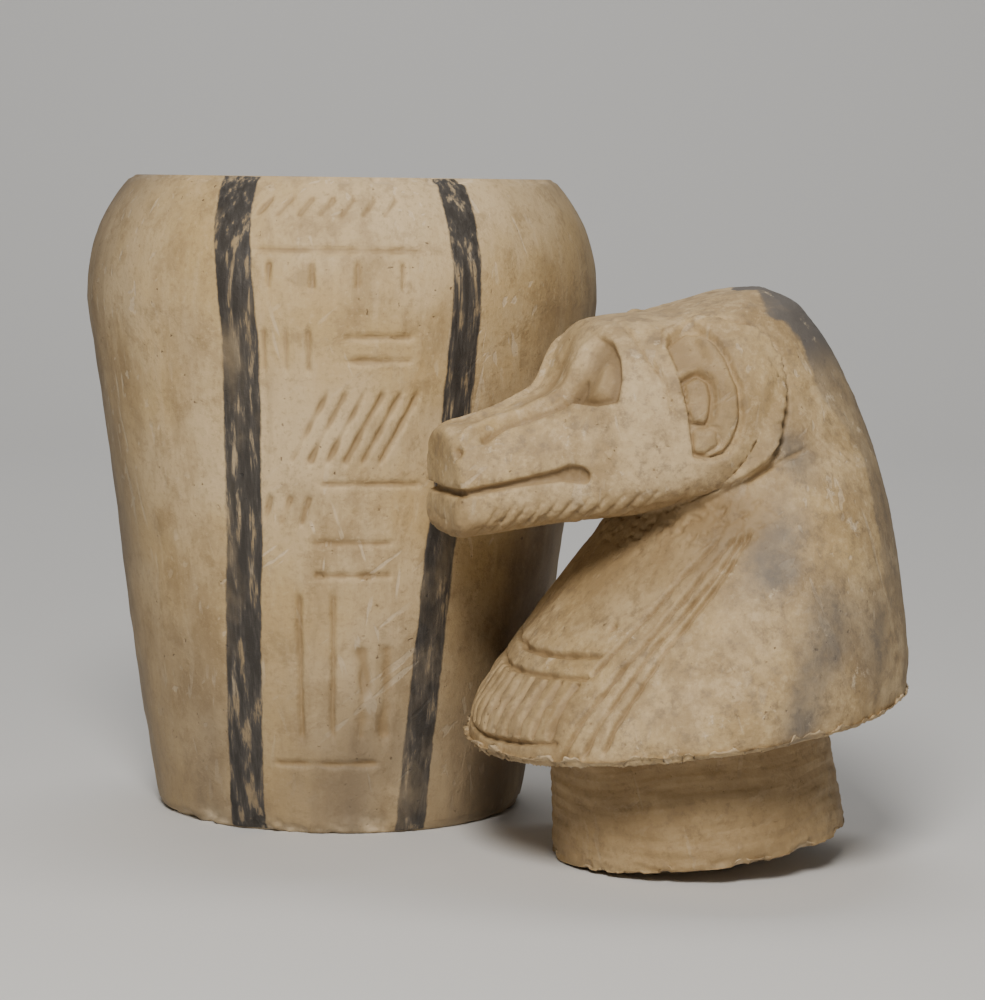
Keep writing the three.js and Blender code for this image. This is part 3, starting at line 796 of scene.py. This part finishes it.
CHIN_LENGTH = 0.12


# %% Rings of the cape, the head and the plug
def cape_rings():
    up = np.linspace(0, 1, CAPE_ROWS)
    turn = np.linspace(0, 2 * math.pi, CAPE_COLUMNS, endpoint=False)
    back, front, half = cape_at(up)
    centre = (front - back) / 2 * CAPE_RADIUS
    reach = (front + back) / 2 * CAPE_RADIUS
    x = centre[:, None] + reach[:, None] * np.cos(turn)
    y = (half * CAPE_RADIUS)[:, None] * np.sin(turn)
    z = np.repeat((up * LID_HEIGHT)[:, None], len(turn), 1)
    return np.stack([x, y, z], -1)


def head_rings():
    rounding = MUZZLE_END - MUZZLE_EDGE * (1 - np.sin(np.linspace(0, math.pi / 2, 8)[1:]))
    forward = np.concatenate([np.linspace(HEAD_BACK, MUZZLE_END - MUZZLE_EDGE, HEAD_ROWS), rounding])
    around = np.linspace(0, 2 * math.pi, HEAD_COLUMNS, endpoint=False)
    past = np.clip((forward - MUZZLE_END + MUZZLE_EDGE) / MUZZLE_EDGE, 0, 1)
    drawn_in = (MUZZLE_EDGE * (1 - np.sqrt(1 - past ** 2)))[:, None]
    top, bottom, level, half = (values[:, None] for values in head_at(forward))
    sine, cosine = np.sin(around)[None], np.cos(around)[None]
    power = np.where(sine > 0, UPPER_ROUNDNESS, LOWER_ROUNDNESS)
    stretch = (np.abs(sine) ** power + np.abs(cosine) ** power) ** (-1 / power)
    rise = np.where(sine > 0, top - level, level - bottom) - drawn_in
    up = level + sine * stretch * rise
    across = cosine * stretch * (half - drawn_in)
    near_end = ease(MUZZLE_END - CHIN_LENGTH, MUZZLE_END, forward)[:, None]
    chin = np.clip(1 - ((up - CHIN_LEVEL) / CHIN_HALF_HEIGHT) ** 2, 0, 1)
    x = forward[:, None] + CHIN_REACH * near_end * chin
    return np.stack([x, across, up], -1) * LID_HEIGHT


def round_rings(outline, columns, centre_x=0.0):
    turn = np.linspace(0, 2 * math.pi, columns, endpoint=False)
    outline = np.array(outline)
    x = centre_x + outline[:, :1] * np.cos(turn)
    y = outline[:, :1] * np.sin(turn)
    z = np.repeat(outline[:, 1:], columns, 1)
    return np.stack([x, y, z], -1)


def plug_rings():
    neck = [(PLUG_NECK_RADIUS, -PLUG_NECK_LENGTH), (PLUG_NECK_RADIUS, 6 * MM)]
    return round_rings([(PLUG_END_RADIUS, -PLUG_LENGTH)] + neck, PLUG_COLUMNS)


seat = PLUG_LENGTH + PLUG_END_RADIUS * math.tan(LID_LEAN)


def lump_rings():
    """The lump under the plug ends flat on the floor, so it is built upright and leaned back into place."""
    outline = [(LUMP_RADIUS, 0), (LUMP_RADIUS + LUMP_SLOPE, LUMP_HEIGHT)]
    rings = round_rings(outline, LUMP_COLUMNS, LUMP_FORWARD)
    x, z = rings[..., 0].copy(), rings[..., 2].copy()
    rings[..., 0] = x * math.cos(LID_LEAN) - z * math.sin(LID_LEAN)
    rings[..., 2] = x * math.sin(LID_LEAN) + z * math.cos(LID_LEAN) - seat
    return rings


# %% [markdown]
# Voxel Remesh builds a new even skin over whatever is inside, so overlapping tubes become one surface. Its
# voxel size decides the detail: under a millimetre here, which is fine enough for a chisel line. A little
# smoothing takes away the steps that voxels leave.


# %% Join the forms into one skin
def lid_blank():
    vertices, faces = [], []
    offset = 0
    for rings in (cape_rings(), head_rings(), plug_rings(), lump_rings()):
        part_vertices, part_faces = tube(rings)
        vertices.append(part_vertices)
        faces += [[corner + offset for corner in face] for face in part_faces]
        offset += len(part_vertices)
    blank = make_object("lid_stone", np.concatenate(vertices), faces)
    remesh = blank.modifiers.new("join", "REMESH")
    remesh.mode = "VOXEL"
    remesh.voxel_size = LID_VOXEL
    smooth = blank.modifiers.new("soften", "SMOOTH")
    smooth.factor = 0.5
    smooth.iterations = 4
    apply_modifiers(blank)
    return blank


lid = lid_blank()
print("lid blank vertices", len(lid.data.vertices))

# %% [markdown]
# ## Carving the head
# The marks are cut in the lid's own frame: forward is towards the muzzle, across is towards the viewer's
# side, and up is along the plug's axis. Marks on the head are drawn as seen from its side, in shares of the
# lid's height: outlines for the eye, the ear and the mane's pad, and lines for the rest.

# %% Outlines and lines of the face
EYE_RIM = [
    (0.272, 0.812), (0.225, 0.797), (0.185, 0.803), (0.166, 0.85), (0.153, 0.9), (0.15, 0.938),
    (0.168, 0.95), (0.192, 0.925), (0.23, 0.86),
]
EYE_BALL = [
    (0.243, 0.815), (0.222, 0.808), (0.198, 0.815), (0.18, 0.85), (0.17, 0.89), (0.181, 0.903),
    (0.203, 0.884), (0.228, 0.848),
]
MANE_PAD = [
    (0.048, 0.52), (0.048, 0.93), (0.03, 0.95), (-0.056, 0.956), (-0.106, 0.945), (-0.157, 0.923),
    (-0.186, 0.899), (-0.203, 0.861), (-0.209, 0.803), (-0.2, 0.76), (-0.182, 0.713), (-0.161, 0.661),
    (-0.135, 0.626), (-0.06, 0.585), (-0.006, 0.55),
]
EAR_RIM = [
    (0.047, 0.915), (0.024, 0.935), (-0.015, 0.941), (-0.046, 0.931), (-0.066, 0.903), (-0.078, 0.86),
    (-0.089, 0.807), (-0.084, 0.769), (-0.074, 0.715), (-0.054, 0.677), (-0.029, 0.655), (0.011, 0.65),
    (0.048, 0.66),
]
EAR_LOBE = [
    (0.039, 0.838), (0.002, 0.849), (-0.021, 0.828), (-0.021, 0.791), (-0.009, 0.747), (0.005, 0.729),
    (0.039, 0.738), (0.047, 0.774),
]
LOWER_LOBE = [(0.045, 0.728), (-0.015, 0.722), (-0.019, 0.682), (0.016, 0.664), (0.045, 0.67)]
CREASE = [(0.154, 0.55), (0.045, 0.556), (-0.042, 0.577), (-0.104, 0.604), (-0.177, 0.63), (-0.25, 0.645)]
CHEEK_LINE = [(0.112, 0.985), (0.102, 0.957), (0.1, 0.914), (0.092, 0.885), (0.079, 0.849), (0.076, 0.76)]
MOUTH_LEVELS = [(0.262, 0.64), (0.3, 0.65), (0.42, 0.642), (0.5, 0.636), (0.6, 0.632)]
MOUTH_HALF_WIDTHS = [(0.262, 3.2), (0.292, 3.1), (0.33, 1.9), (0.42, 1.2), (0.6, 1.0)]
MOUTH_CORNER = 0.282
NOSE_CREST = [
    (0.165, 0.11), (0.214, 0.097), (0.275, 0.082), (0.328, 0.071), (0.376, 0.062), (0.426, 0.06),
    (0.48, 0.075), (0.53, 0.092),
]
NOSE_SIDE = [(0.235, 0.135), (0.306, 0.112), (0.362, 0.091), (0.412, 0.088), (0.468, 0.104)]
NOSTRIL = (0.533, 0.1, 0.727)
MANE_RAISE = 4 * MM
EYE_DEPTH = 3.5 * MM
MOUTH_CUT = 2.9 * MM


def scaled(path):
    return [(a * LID_HEIGHT, b * LID_HEIGHT) for a, b in path]


def looked_up(values, pairs):
    """Read values off a short table of pairs, straight between its rows."""
    places, sizes = np.array(pairs).T
    return np.interp(values, places, sizes)


# %% [markdown]
# The eye is a rounded hollow with a domed ball left standing in it. The ear is a shallow dish in the mane's
# pad, with a rolled rim, and lobes that thin lines set off. The pad itself rises from the cheek towards its
# ragged back edge.


# %% Marks on the sides of the head
def eye_cut(points, away):
    rim = np.minimum(outline_depth(points, scaled(EYE_RIM)), away - 13 * MM)
    ball = outline_depth(points, scaled(EYE_BALL))
    dome = ease(-0.9 * MM, 3.2 * MM, ball)
    return EYE_DEPTH * ease(-0.4 * MM, 1.0 * MM, rim) * (1 - 0.78 * dome)


def ear_cut(points, uneven):
    rim = outline_depth(points, scaled(EAR_RIM)) + 0.4 * MM * uneven
    lobe = outline_depth(points, scaled(EAR_LOBE))
    lower = outline_depth(points, scaled(LOWER_LOBE))
    dish = 2.2 * MM * ease(-0.4 * MM, 0.9 * MM, rim)
    roll = 1.6 * MM * ease(0.9 * MM, 3.0 * MM, rim) * ease(0.3 * MM, 2.4 * MM, -lobe)
    above = ease(0.852 * LID_HEIGHT, 0.875 * LID_HEIGHT, points[:, 1])
    ahead = ease(-0.045 * LID_HEIGHT, -0.02 * LID_HEIGHT, points[:, 0])
    hollow = 2.4 * MM * above * ahead * ease(0.6 * MM, 3.0 * MM, rim)
    lobe_line = outlined(lobe, 1.6 * MM, 2.3 * MM)
    lines = np.maximum(lobe_line, outlined(lower, 1.4 * MM, 1.7 * MM))
    lines *= ease(0, 1.2 * MM, rim)
    edge = outlined(rim - 0.4 * MM, 1.4 * MM, 1.4 * MM)
    return dish - roll + hollow + lines + edge


def pad_raise(points, uneven):
    """How far the mane's pad stands out, and the distance inside its outline."""
    forward = points[:, 0] / LID_HEIGHT
    ragged = 0.5 * MM * uneven + 0.35 * MM * np.sin(points[:, 1] / (4.2 * MM) * 2 * math.pi + 2 * uneven)
    pad = outline_depth(points, scaled(MANE_PAD)) + ragged * ease(-0.08, -0.15, forward)
    ramp = 0.25 + 0.75 * ease(0.055, -0.085, forward)
    undercut = outlined(pad + 1.3 * MM, 1.4 * MM, 1.1 * MM) * ease(0.0, -0.1, forward)
    return MANE_RAISE * ramp * ease(-0.3 * MM, 0.7 * MM, pad) - undercut, pad


def jaw_hatch(points, uneven):
    cut = np.zeros(len(points))
    for start in np.arange(0.17, 0.53, 0.034):
        stroke = scaled([(start, 0.528), (start - 0.045, 0.592)])
        cut = np.maximum(cut, chiselled(points, stroke, 2.2 * MM, 0.8 * MM, uneven, taper=0.2))
    return cut


def mouth_cut(forward, up, sideways, frontward):
    """The slot of the mouth, which runs from its corner round the front of the muzzle."""
    drop = (up - looked_up(forward, MOUTH_LEVELS)) * LID_HEIGHT
    behind = np.clip(MOUTH_CORNER - forward, 0, 1) * LID_HEIGHT
    half = looked_up(forward, MOUTH_HALF_WIDTHS) * MM
    gap = np.hypot(drop, behind)
    facing = np.maximum(ease(0.1, 0.4, sideways), ease(0.3, 0.6, frontward) * (forward > 0.45))
    return MOUTH_CUT * (1 - ease(half - 0.6 * MM, half + 0.7 * MM, gap)) * facing


def head_cut(forward, across, up, normals):
    """How deep the marks of the head cut; negative where something stands out."""
    cut = np.zeros(len(forward))
    sideways = normals[:, 1] * np.sign(across)
    side = (forward > -0.3) & (up > 0.5) & (sideways > 0.05)
    points = np.stack([forward, up], 1)[side] * LID_HEIGHT
    uneven = wave_noise(np.stack([forward, across, up], 1)[side] * LID_HEIGHT, 8, 31)
    raised, pad = pad_raise(points, uneven)
    away = np.abs(across[side]) * LID_HEIGHT
    cuts = np.maximum(eye_cut(points, away), jaw_hatch(points, uneven))
    cuts = np.maximum(cuts, chiselled(points, scaled(CHEEK_LINE), 2.4 * MM, 1.1 * MM, uneven))
    cuts = np.maximum(cuts, chiselled(points, scaled(CREASE), 3.2 * MM, 1.3 * MM, uneven, taper=0.2))
    cuts += ear_cut(points, uneven) * ease(0.2 * MM, 1.2 * MM, pad)
    cut[side] = (cuts - raised) * ease(0.12, 0.4, sideways[side])
    front = (forward > 0.24) & (up > 0.5)
    cut[front] += mouth_cut(forward[front], up[front], sideways[front], normals[front, 0])
    return cut


# %% [markdown]
# Seen from above, two raised ribs run from the inner corners of the eyes to the nostrils. Between them the
# nose is slightly hollow, and a groove lies along the outside of each rib.


# %% Marks on the nose
def nose_cut(forward, across, up, upward):
    cut = np.zeros(len(forward))
    near = (forward > 0.12) & (up > 0.68) & (upward > 0.02)
    points = np.stack([forward[near], np.abs(across[near])], 1) * LID_HEIGHT
    crest = line_distance(points, scaled(NOSE_CREST))[0]
    beside = line_distance(points, scaled(NOSE_SIDE))[0]
    hollow = 1.5 * MM * (1 - ease(0.0, 8 * MM, points[:, 1]))
    hollow *= ease(0.17, 0.25, forward[near]) * (1 - ease(0.46, 0.53, forward[near]))
    rib = -2.0 * MM * (1 - ease(0.7 * MM, 2.6 * MM, crest))
    rib *= ease(0.16, 0.2, forward[near]) * (1 - ease(0.5, 0.54, forward[near]))
    groove = 2.2 * MM * (1 - ease(0.0, 2.2 * MM, beside))
    cut[near] = hollow + rib + groove
    return cut


def nostril_cut(forward, across, up):
    places = np.stack([forward, np.abs(across), up], 1) * LID_HEIGHT
    gap = np.linalg.norm((places - np.array(NOSTRIL) * LID_HEIGHT) * [0.8, 1, 0.8], axis=1)
    return 2.6 * MM * (1 - ease(0.6 * MM, 2.6 * MM, gap))


# %% [markdown]
# ## Carving the cape
# Marks on the cape are drawn by the angle round it and the height, on the cape unrolled at its mean radius.
# Its slope makes a line longer than its height says. Four lines on each side are the wig's lappet, and
# between the lappets are two collar lines, a fringe and its lower edge.

# %% Lines of the cape
LAPPET_LINES = [
    [(51, 0.47), (44, 0.4), (33.3, 0.225), (32, 0.19)],
    [(57, 0.473), (51.1, 0.405), (40.3, 0.208), (33.5, 0.012)],
    [(60, 0.48), (55.5, 0.394), (46.8, 0.257), (40, 0.03)],
    [(62.5, 0.485), (57.9, 0.383), (50.7, 0.247), (45, 0.03)],
]
COLLAR_EDGE = 31.5
COLLAR_LINES = [
    [(-COLLAR_EDGE, 0.238), (-15, 0.23), (0, 0.226), (15, 0.228), (COLLAR_EDGE, 0.236)],
    [(-COLLAR_EDGE, 0.192), (-15, 0.187), (0, 0.186), (15, 0.187), (COLLAR_EDGE, 0.192)],
    [(-COLLAR_EDGE, 0.057), (-15, 0.049), (0, 0.046), (15, 0.05), (COLLAR_EDGE, 0.057)],
]
FRINGE_COUNT = 11
DRILLED_DOTS = [(2, 0.115), (29, 0.29)]
MEAN_RADIUS = CAPE_RADIUS * 0.8
SLOPE_LENGTH = 1.25


def cape_turn(forward, across, up):
    """Angle round the cape from the front, in degrees, for places in shares of the lid's height."""
    back, front, half = cape_at(up)
    centre, reach = (front - back) / 2, (front + back) / 2
    x = (forward * LID_HEIGHT / CAPE_RADIUS - centre) / reach
    y = across * LID_HEIGHT / CAPE_RADIUS / half
    return np.degrees(np.arctan2(y, x))


def cape_cut(forward, across, up, turn):
    """How deep the lines of the cape cut."""
    cut = np.zeros(len(forward))
    near = (up > -0.002) & (up < 0.5)
    uneven = wave_noise(np.stack([forward, across, up], 1)[near] * LID_HEIGHT, 9, 37)
    arc = MEAN_RADIUS * math.pi / 180
    points = np.stack([turn[near] * arc, up[near] * LID_HEIGHT * SLOPE_LENGTH], 1)
    mirror = np.abs(points)

    def drawn(path):
        return [(a * arc, b * LID_HEIGHT * SLOPE_LENGTH) for a, b in path]

    marks = [chiselled(mirror, drawn(path), 3.0 * MM, 2.1 * MM, uneven, 0.05) for path in LAPPET_LINES]
    marks += [chiselled(points, drawn(path), 3.4 * MM, 2.0 * MM, uneven, 0.02) for path in COLLAR_LINES]
    for i in range(FRINGE_COUNT):
        angle = -COLLAR_EDGE + 2 * COLLAR_EDGE * (i + 0.5) / FRINGE_COUNT
        line = drawn([(angle, 0.182), (angle, 0.062)])
        marks.append(chiselled(points, line, 3.5 * MM, 1.9 * MM, uneven, taper=0.05))
    for dot in DRILLED_DOTS:
        gap = np.linalg.norm(points - drawn([dot])[0], axis=1)
        marks.append(1.6 * MM * (1 - ease(0.8 * MM, 1.9 * MM, gap)))
    cut[near] = np.maximum.reduce(marks)
    return cut


# %% [markdown]
# ## Wear on the lid
# Breakage and tool marks come last: flakes off the cape's lower edge and the plug's end, rings that the
# tools left round the plug, scratches behind the mane's pad and crumbled stone under the jaw. Brown painted
# shade lies under the jaw, on the neck, the fringe and the plug, and in the ear brown grime and painted
# shade.


# %% Wear
LID_SKIN = 0.3 * MM
EAR_MIDDLE = (-0.015, 0.8)
EAR_SPREAD = (0.06, 0.12)


def edge_flakes(places):
    """What has flaked off the hem, and how far the hem is drawn in."""
    radius = np.hypot(places[:, 0], places[:, 1])
    to_edge = np.hypot(np.clip(CAPE_RADIUS - radius, 0, 1), np.abs(places[:, 2]))
    near = 1 - ease(0, 3.4 * MM, to_edge)
    flakes = broken_patches(places, (12, 41), (4, 43), 0.6, -0.1)
    outer = ease(CAPE_RADIUS - 8 * MM, CAPE_RADIUS - 3 * MM, radius)
    drawn_in = 1.8 * MM * outer * ease(18 * MM, 0, places[:, 2])
    return near * (1.1 + 2.2 * flakes) * MM, drawn_in


def plug_wear(places):
    """Rings that the tools left, and what has broken off the plug's end."""
    on_plug = 1 - ease(-3 * MM, -1 * MM, places[:, 2])
    wander = wave_noise(places, 55, 47)
    rings = 0.13 * MM * (1 + np.sin(places[:, 2] / (5.1 * MM) * 2 * math.pi + 5 * wander))
    rings += 0.09 * MM * (1 + np.sin(places[:, 2] / (1.9 * MM) * 2 * math.pi + 8 * wander))
    rings += 0.2 * MM * (1 + wave_noise(places * [0.25, 0.25, 1], 6, 89))
    end = 1 - ease(0, 5.5 * MM, places[:, 2] + PLUG_LENGTH)
    lost = broken_patches(places, (10, 53), (4, 59), 0.5)
    return on_plug * rings, on_plug * end * (0.4 + 1.5 * lost) * MM


def tool_marks(places, forward, up):
    """Fine slanting scratches on the wig behind the pad."""
    region = ease(-0.19, -0.23, forward) * ease(-0.42, -0.36, forward)
    region *= ease(0.54, 0.6, up) * ease(0.82, 0.74, up)
    slant = (up * 0.7 - forward * 0.72) * LID_HEIGHT
    wander = wave_noise(places, 40, 71)
    lines = np.clip(np.sin(slant / (2.3 * MM) * 2 * math.pi + 4 * wander), 0, 1) ** 2
    return region * lines * 0.35 * MM * (0.6 + 0.4 * wave_noise(places, 15, 73))


def crumbled(places, up, turn):
    """How deep the stone has crumbled in the shade of the jaw, and where that shade is."""
    region = ease(0.40, 0.5, up) * ease(0.6, 0.54, up) * ease(85, 55, np.abs(turn))
    pits = np.clip(wave_noise(places * [1, 1, 2], 6, 79) + 0.5 * wave_noise(places, 2.6, 83), 0, 2)
    return region * pits * 0.7 * MM, region


def gathered_shade_and_dirt(forward, across, up, turn):
    """Brown painted shade under the jaw and on the fringe, and grime with painted shade in the ear."""
    side = np.abs(across) > 0.2
    ahead = (forward - EAR_MIDDLE[0]) / EAR_SPREAD[0]
    above = (up - EAR_MIDDLE[1]) / EAR_SPREAD[1]
    ear = 0.8 * side * np.exp(-(ahead ** 2 + above ** 2))
    fringe = 0.45 * (up > 0) * ease(0.2, 0.17, up)
    fringe *= ease(COLLAR_EDGE + 3, COLLAR_EDGE, np.abs(turn))
    neck = 0.75 * ease(0.26, 0.42, up) * ease(0.6, 0.54, up) * ease(75, 45, np.abs(turn))
    return np.maximum.reduce([ear, fringe, neck])


# %% [markdown]
# The stain's front edge is an angle round the cape at each height. Each smudge is a round patch with an
# angle, a height and a size in millimetres.

# %% Where the stains are
STAIN_EDGE = [
    (0.0, 150), (0.1, 138), (0.226, 127.9), (0.367, 124.6), (0.466, 123.4), (0.532, 122.7), (0.6, 124.7),
    (0.656, 122.8), (0.719, 118), (0.749, 114), (0.812, 115.9), (0.886, 121), (0.929, 118), (0.946, 107),
    (0.965, 107.7), (1.0, 116),
]
SMUDGES = [
    (72, 0.448, 11), (79, 0.405, 8), (100, 0.268, 13), (98, 0.14, 9), (95, 0.06, 7), (88, 0.63, 7),
    (52, 0.5, 8), (121, 0.19, 12),
]


def store_stains_and_shade(mesh, up, turn, shade_and_dirt):
    half_width = cape_at(up)[2] * CAPE_RADIUS
    edge = looked_up(up, STAIN_EDGE)
    store(mesh, "stain_gap", np.radians(np.abs(turn) - edge) * half_width / MM)
    share = 0.1 + 0.35 * ease(0.02, 0.3, up) + 0.6 * ease(0.74, 0.9, up)
    store(mesh, "stain_share", share * ease(-0.01, 0.02, up))
    smudge = np.zeros(len(up))
    for middle, level, size in SMUDGES:
        sideways = np.radians(np.abs(turn) - middle) * half_width / MM
        upward = (up - level) * LID_HEIGHT / MM
        smudge += np.exp(-(sideways ** 2 + (upward * 0.8) ** 2) / (size * size))
    store(mesh, "smudge", smudge)
    # The plug, under the cape, gets painted shade too.
    store(mesh, "shade_and_dirt", np.clip(shade_and_dirt + 0.8 * ease(0.0, -0.02, up), 0, 1))


# %% [markdown]
# Everything is now added up and cut along the normals, with a slow unevenness over all of it. Then the lid
# is leaned, turned and set down beside the jar, and Decimate brings it to a size that other programs can
# handle. It spends the triangles where the surface bends.


# %% Carve the lid and stand it on the floor
def carve_lid():
    mesh = lid.data
    places = read_vertices(mesh)
    normals = read_vertices(mesh, "normal")
    forward, across, up = (places / LID_HEIGHT).T
    turn = cape_turn(forward, across, up)
    outward = ease(-0.35, 0.0, normals[:, 2])
    carved = head_cut(forward, across, up, normals)
    carved += nose_cut(forward, across, up, normals[:, 2]) + nostril_cut(forward, across, up)
    carved += cape_cut(forward, across, up, turn) * outward
    marks = tool_marks(places, forward, up)
    edge_loss, drawn_in = edge_flakes(places)
    rings, end_loss = plug_wear(places)
    crumbs, jaw_shade = crumbled(places, up, turn)
    slow = 0.4 * MM * wave_noise(places, 45, 61) + 0.15 * MM * wave_noise(places, 9, 67)
    slow += 0.07 * MM * wave_noise(places, 3.2, 97)
    skin = LID_SKIN + np.clip(-slow, -LID_SKIN, 0.6 * MM)
    total = carved + marks + edge_loss + rings + end_loss + crumbs + skin + drawn_in
    store(mesh, "carving", np.clip((carved + 1.5 * marks) / (1.6 * MM), -1, 2))
    store(mesh, "breakage", np.clip((edge_loss + end_loss) / FRESH_DEPTH - 0.3, 0, 1))
    # The shade under the jaw and in the other places is painted into the colour.
    store_stains_and_shade(mesh, up, turn, np.maximum(jaw_shade, gathered_shade_and_dirt(forward, across, up, turn)))
    return places - normals * total[:, None]


def stand(places):
    """Lean the lid forward, turn it and set it on the floor beside the jar."""
    x = places[:, 0] * math.cos(LID_LEAN) + (places[:, 2] + seat) * math.sin(LID_LEAN)
    z = -places[:, 0] * math.sin(LID_LEAN) + (places[:, 2] + seat) * math.cos(LID_LEAN)
    distance = float(jar_radius(np.array(seat))) + LID_GAP + CAPE_RADIUS
    cosine, sine = math.cos(LID_HEADING), math.sin(LID_HEADING)
    return np.stack([
        distance * math.cos(LID_BEARING) + x * cosine - places[:, 1] * sine,
        distance * math.sin(LID_BEARING) + x * sine + places[:, 1] * cosine,
        np.maximum(z, 0),
    ], 1)


write_vertices(lid.data, stand(carve_lid()))
before = triangle_count(lid.data)
if before > TRIANGLE_LIMIT:
    thin = lid.modifiers.new("thin", "DECIMATE")
    thin.ratio = TRIANGLE_LIMIT / before
    apply_modifiers(lid)
print("lid triangles", before, "then", triangle_count(lid.data), "volume", round(volume(lid.data), 6))
lid.data.materials.clear()
lid.data.materials.append(stone_of_lid)
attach(lid, "root")
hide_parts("lid")

# %% [markdown]
# ## Floor, light and camera
# The floor and the backdrop are one pale sheet that curves up behind the jar, so that no horizon shows. A
# soft light from the front and above models the stone, a weak one from the right fills its shade, and a
# third lights only the backdrop.


# %% Floor
FLOOR_FRONT = -3.0
FLOOR_HALF_WIDTH = 4.0
BEND_START = 1.6
BEND_SIZE = 1.2
BACKDROP_TOP = 5.0
PAPER = (0.66, 0.65, 0.63)


def sweep_floor():
    curve = [(BEND_START + BEND_SIZE * math.sin(a), BEND_SIZE * (1 - math.cos(a)))
             for a in np.linspace(0, math.pi / 2, 16)[1:]]
    points = [(FLOOR_FRONT, 0.0), (BEND_START, 0.0)] + curve + [(BEND_START + BEND_SIZE, BACKDROP_TOP)]
    vertices = [(side, y, z) for y, z in points for side in (-FLOOR_HALF_WIDTH, FLOOR_HALF_WIDTH)]
    faces = [(2 * i, 2 * i + 1, 2 * i + 3, 2 * i + 2) for i in range(len(points) - 1)]
    floor = make_object("floor", vertices, faces)
    floor.data.shade_smooth()
    material = bpy.data.materials.new("pale_paper")
    material.use_nodes = True
    shader = material.node_tree.nodes["Principled BSDF"]
    shader.inputs["Base Color"].default_value = (*PAPER, 1)
    shader.inputs["Roughness"].default_value = 0.9
    floor.data.materials.append(material)


sweep_floor()


# %% Lights
def area_light(name, place, target, size, power, colour):
    lamp = bpy.data.lights.new(name, "AREA")
    lamp.shape = "DISK"
    lamp.size = size
    lamp.energy = power
    lamp.color = colour
    light = bpy.data.objects.new(name, lamp)
    light.location = place
    direction = mathutils.Vector(target) - mathutils.Vector(place)
    light.rotation_euler = direction.to_track_quat("-Z", "Y").to_euler()
    bpy.context.scene.collection.objects.link(light)


WORLD_LIGHT = 0.07
area_light("key", (-0.05, -1.25, 1.05), (0.04, 0, 0.13), 0.5, 25, (1.0, 0.97, 0.93))
area_light("fill", (1.3, -1.3, 0.6), (0.1, 0, 0.12), 1.0, 1.2, (0.97, 0.98, 1.0))
area_light("backdrop", (0, 0.9, 2.6), (0, 2.4, 0.9), 1.6, 40, (1, 1, 1))
world = bpy.data.worlds.new("studio")
world.use_nodes = True
background = world.node_tree.nodes["Background"]
background.inputs["Color"].default_value = (0.95, 0.96, 1.0, 1)
background.inputs["Strength"].default_value = WORLD_LIGHT
bpy.context.scene.world = world
print("lights", [light.name for light in bpy.data.lights])

# %% [markdown]
# The camera stands where the photographer's did: a little to the right of the jar's middle, level with its
# rim, looking slightly down, with a long lens. The picture was turned by under a degree.

# %% Camera
CAMERA_PLACE = (58 * MM, -1224 * MM, 240 * MM)
CAMERA_PITCH = math.radians(-5.73)
CAMERA_ROLL = math.radians(0.75)
FOCAL_PIXELS = 3200
IMAGE_HEIGHT = 1000
SENSOR = 36

camera_data = bpy.data.cameras.new("camera")
camera_data.sensor_width = SENSOR
camera_data.lens = FOCAL_PIXELS * SENSOR / IMAGE_HEIGHT
camera = bpy.data.objects.new("camera", camera_data)
aim = mathutils.Matrix.Rotation(math.pi / 2 + CAMERA_PITCH, 4, "X")
spin = mathutils.Matrix.Rotation(CAMERA_ROLL, 4, "Z")
camera.matrix_world = mathutils.Matrix.Translation(CAMERA_PLACE) @ aim @ spin
bpy.context.scene.collection.objects.link(camera)
bpy.context.scene.camera = camera
print("lens", round(camera_data.lens, 1), "mm")
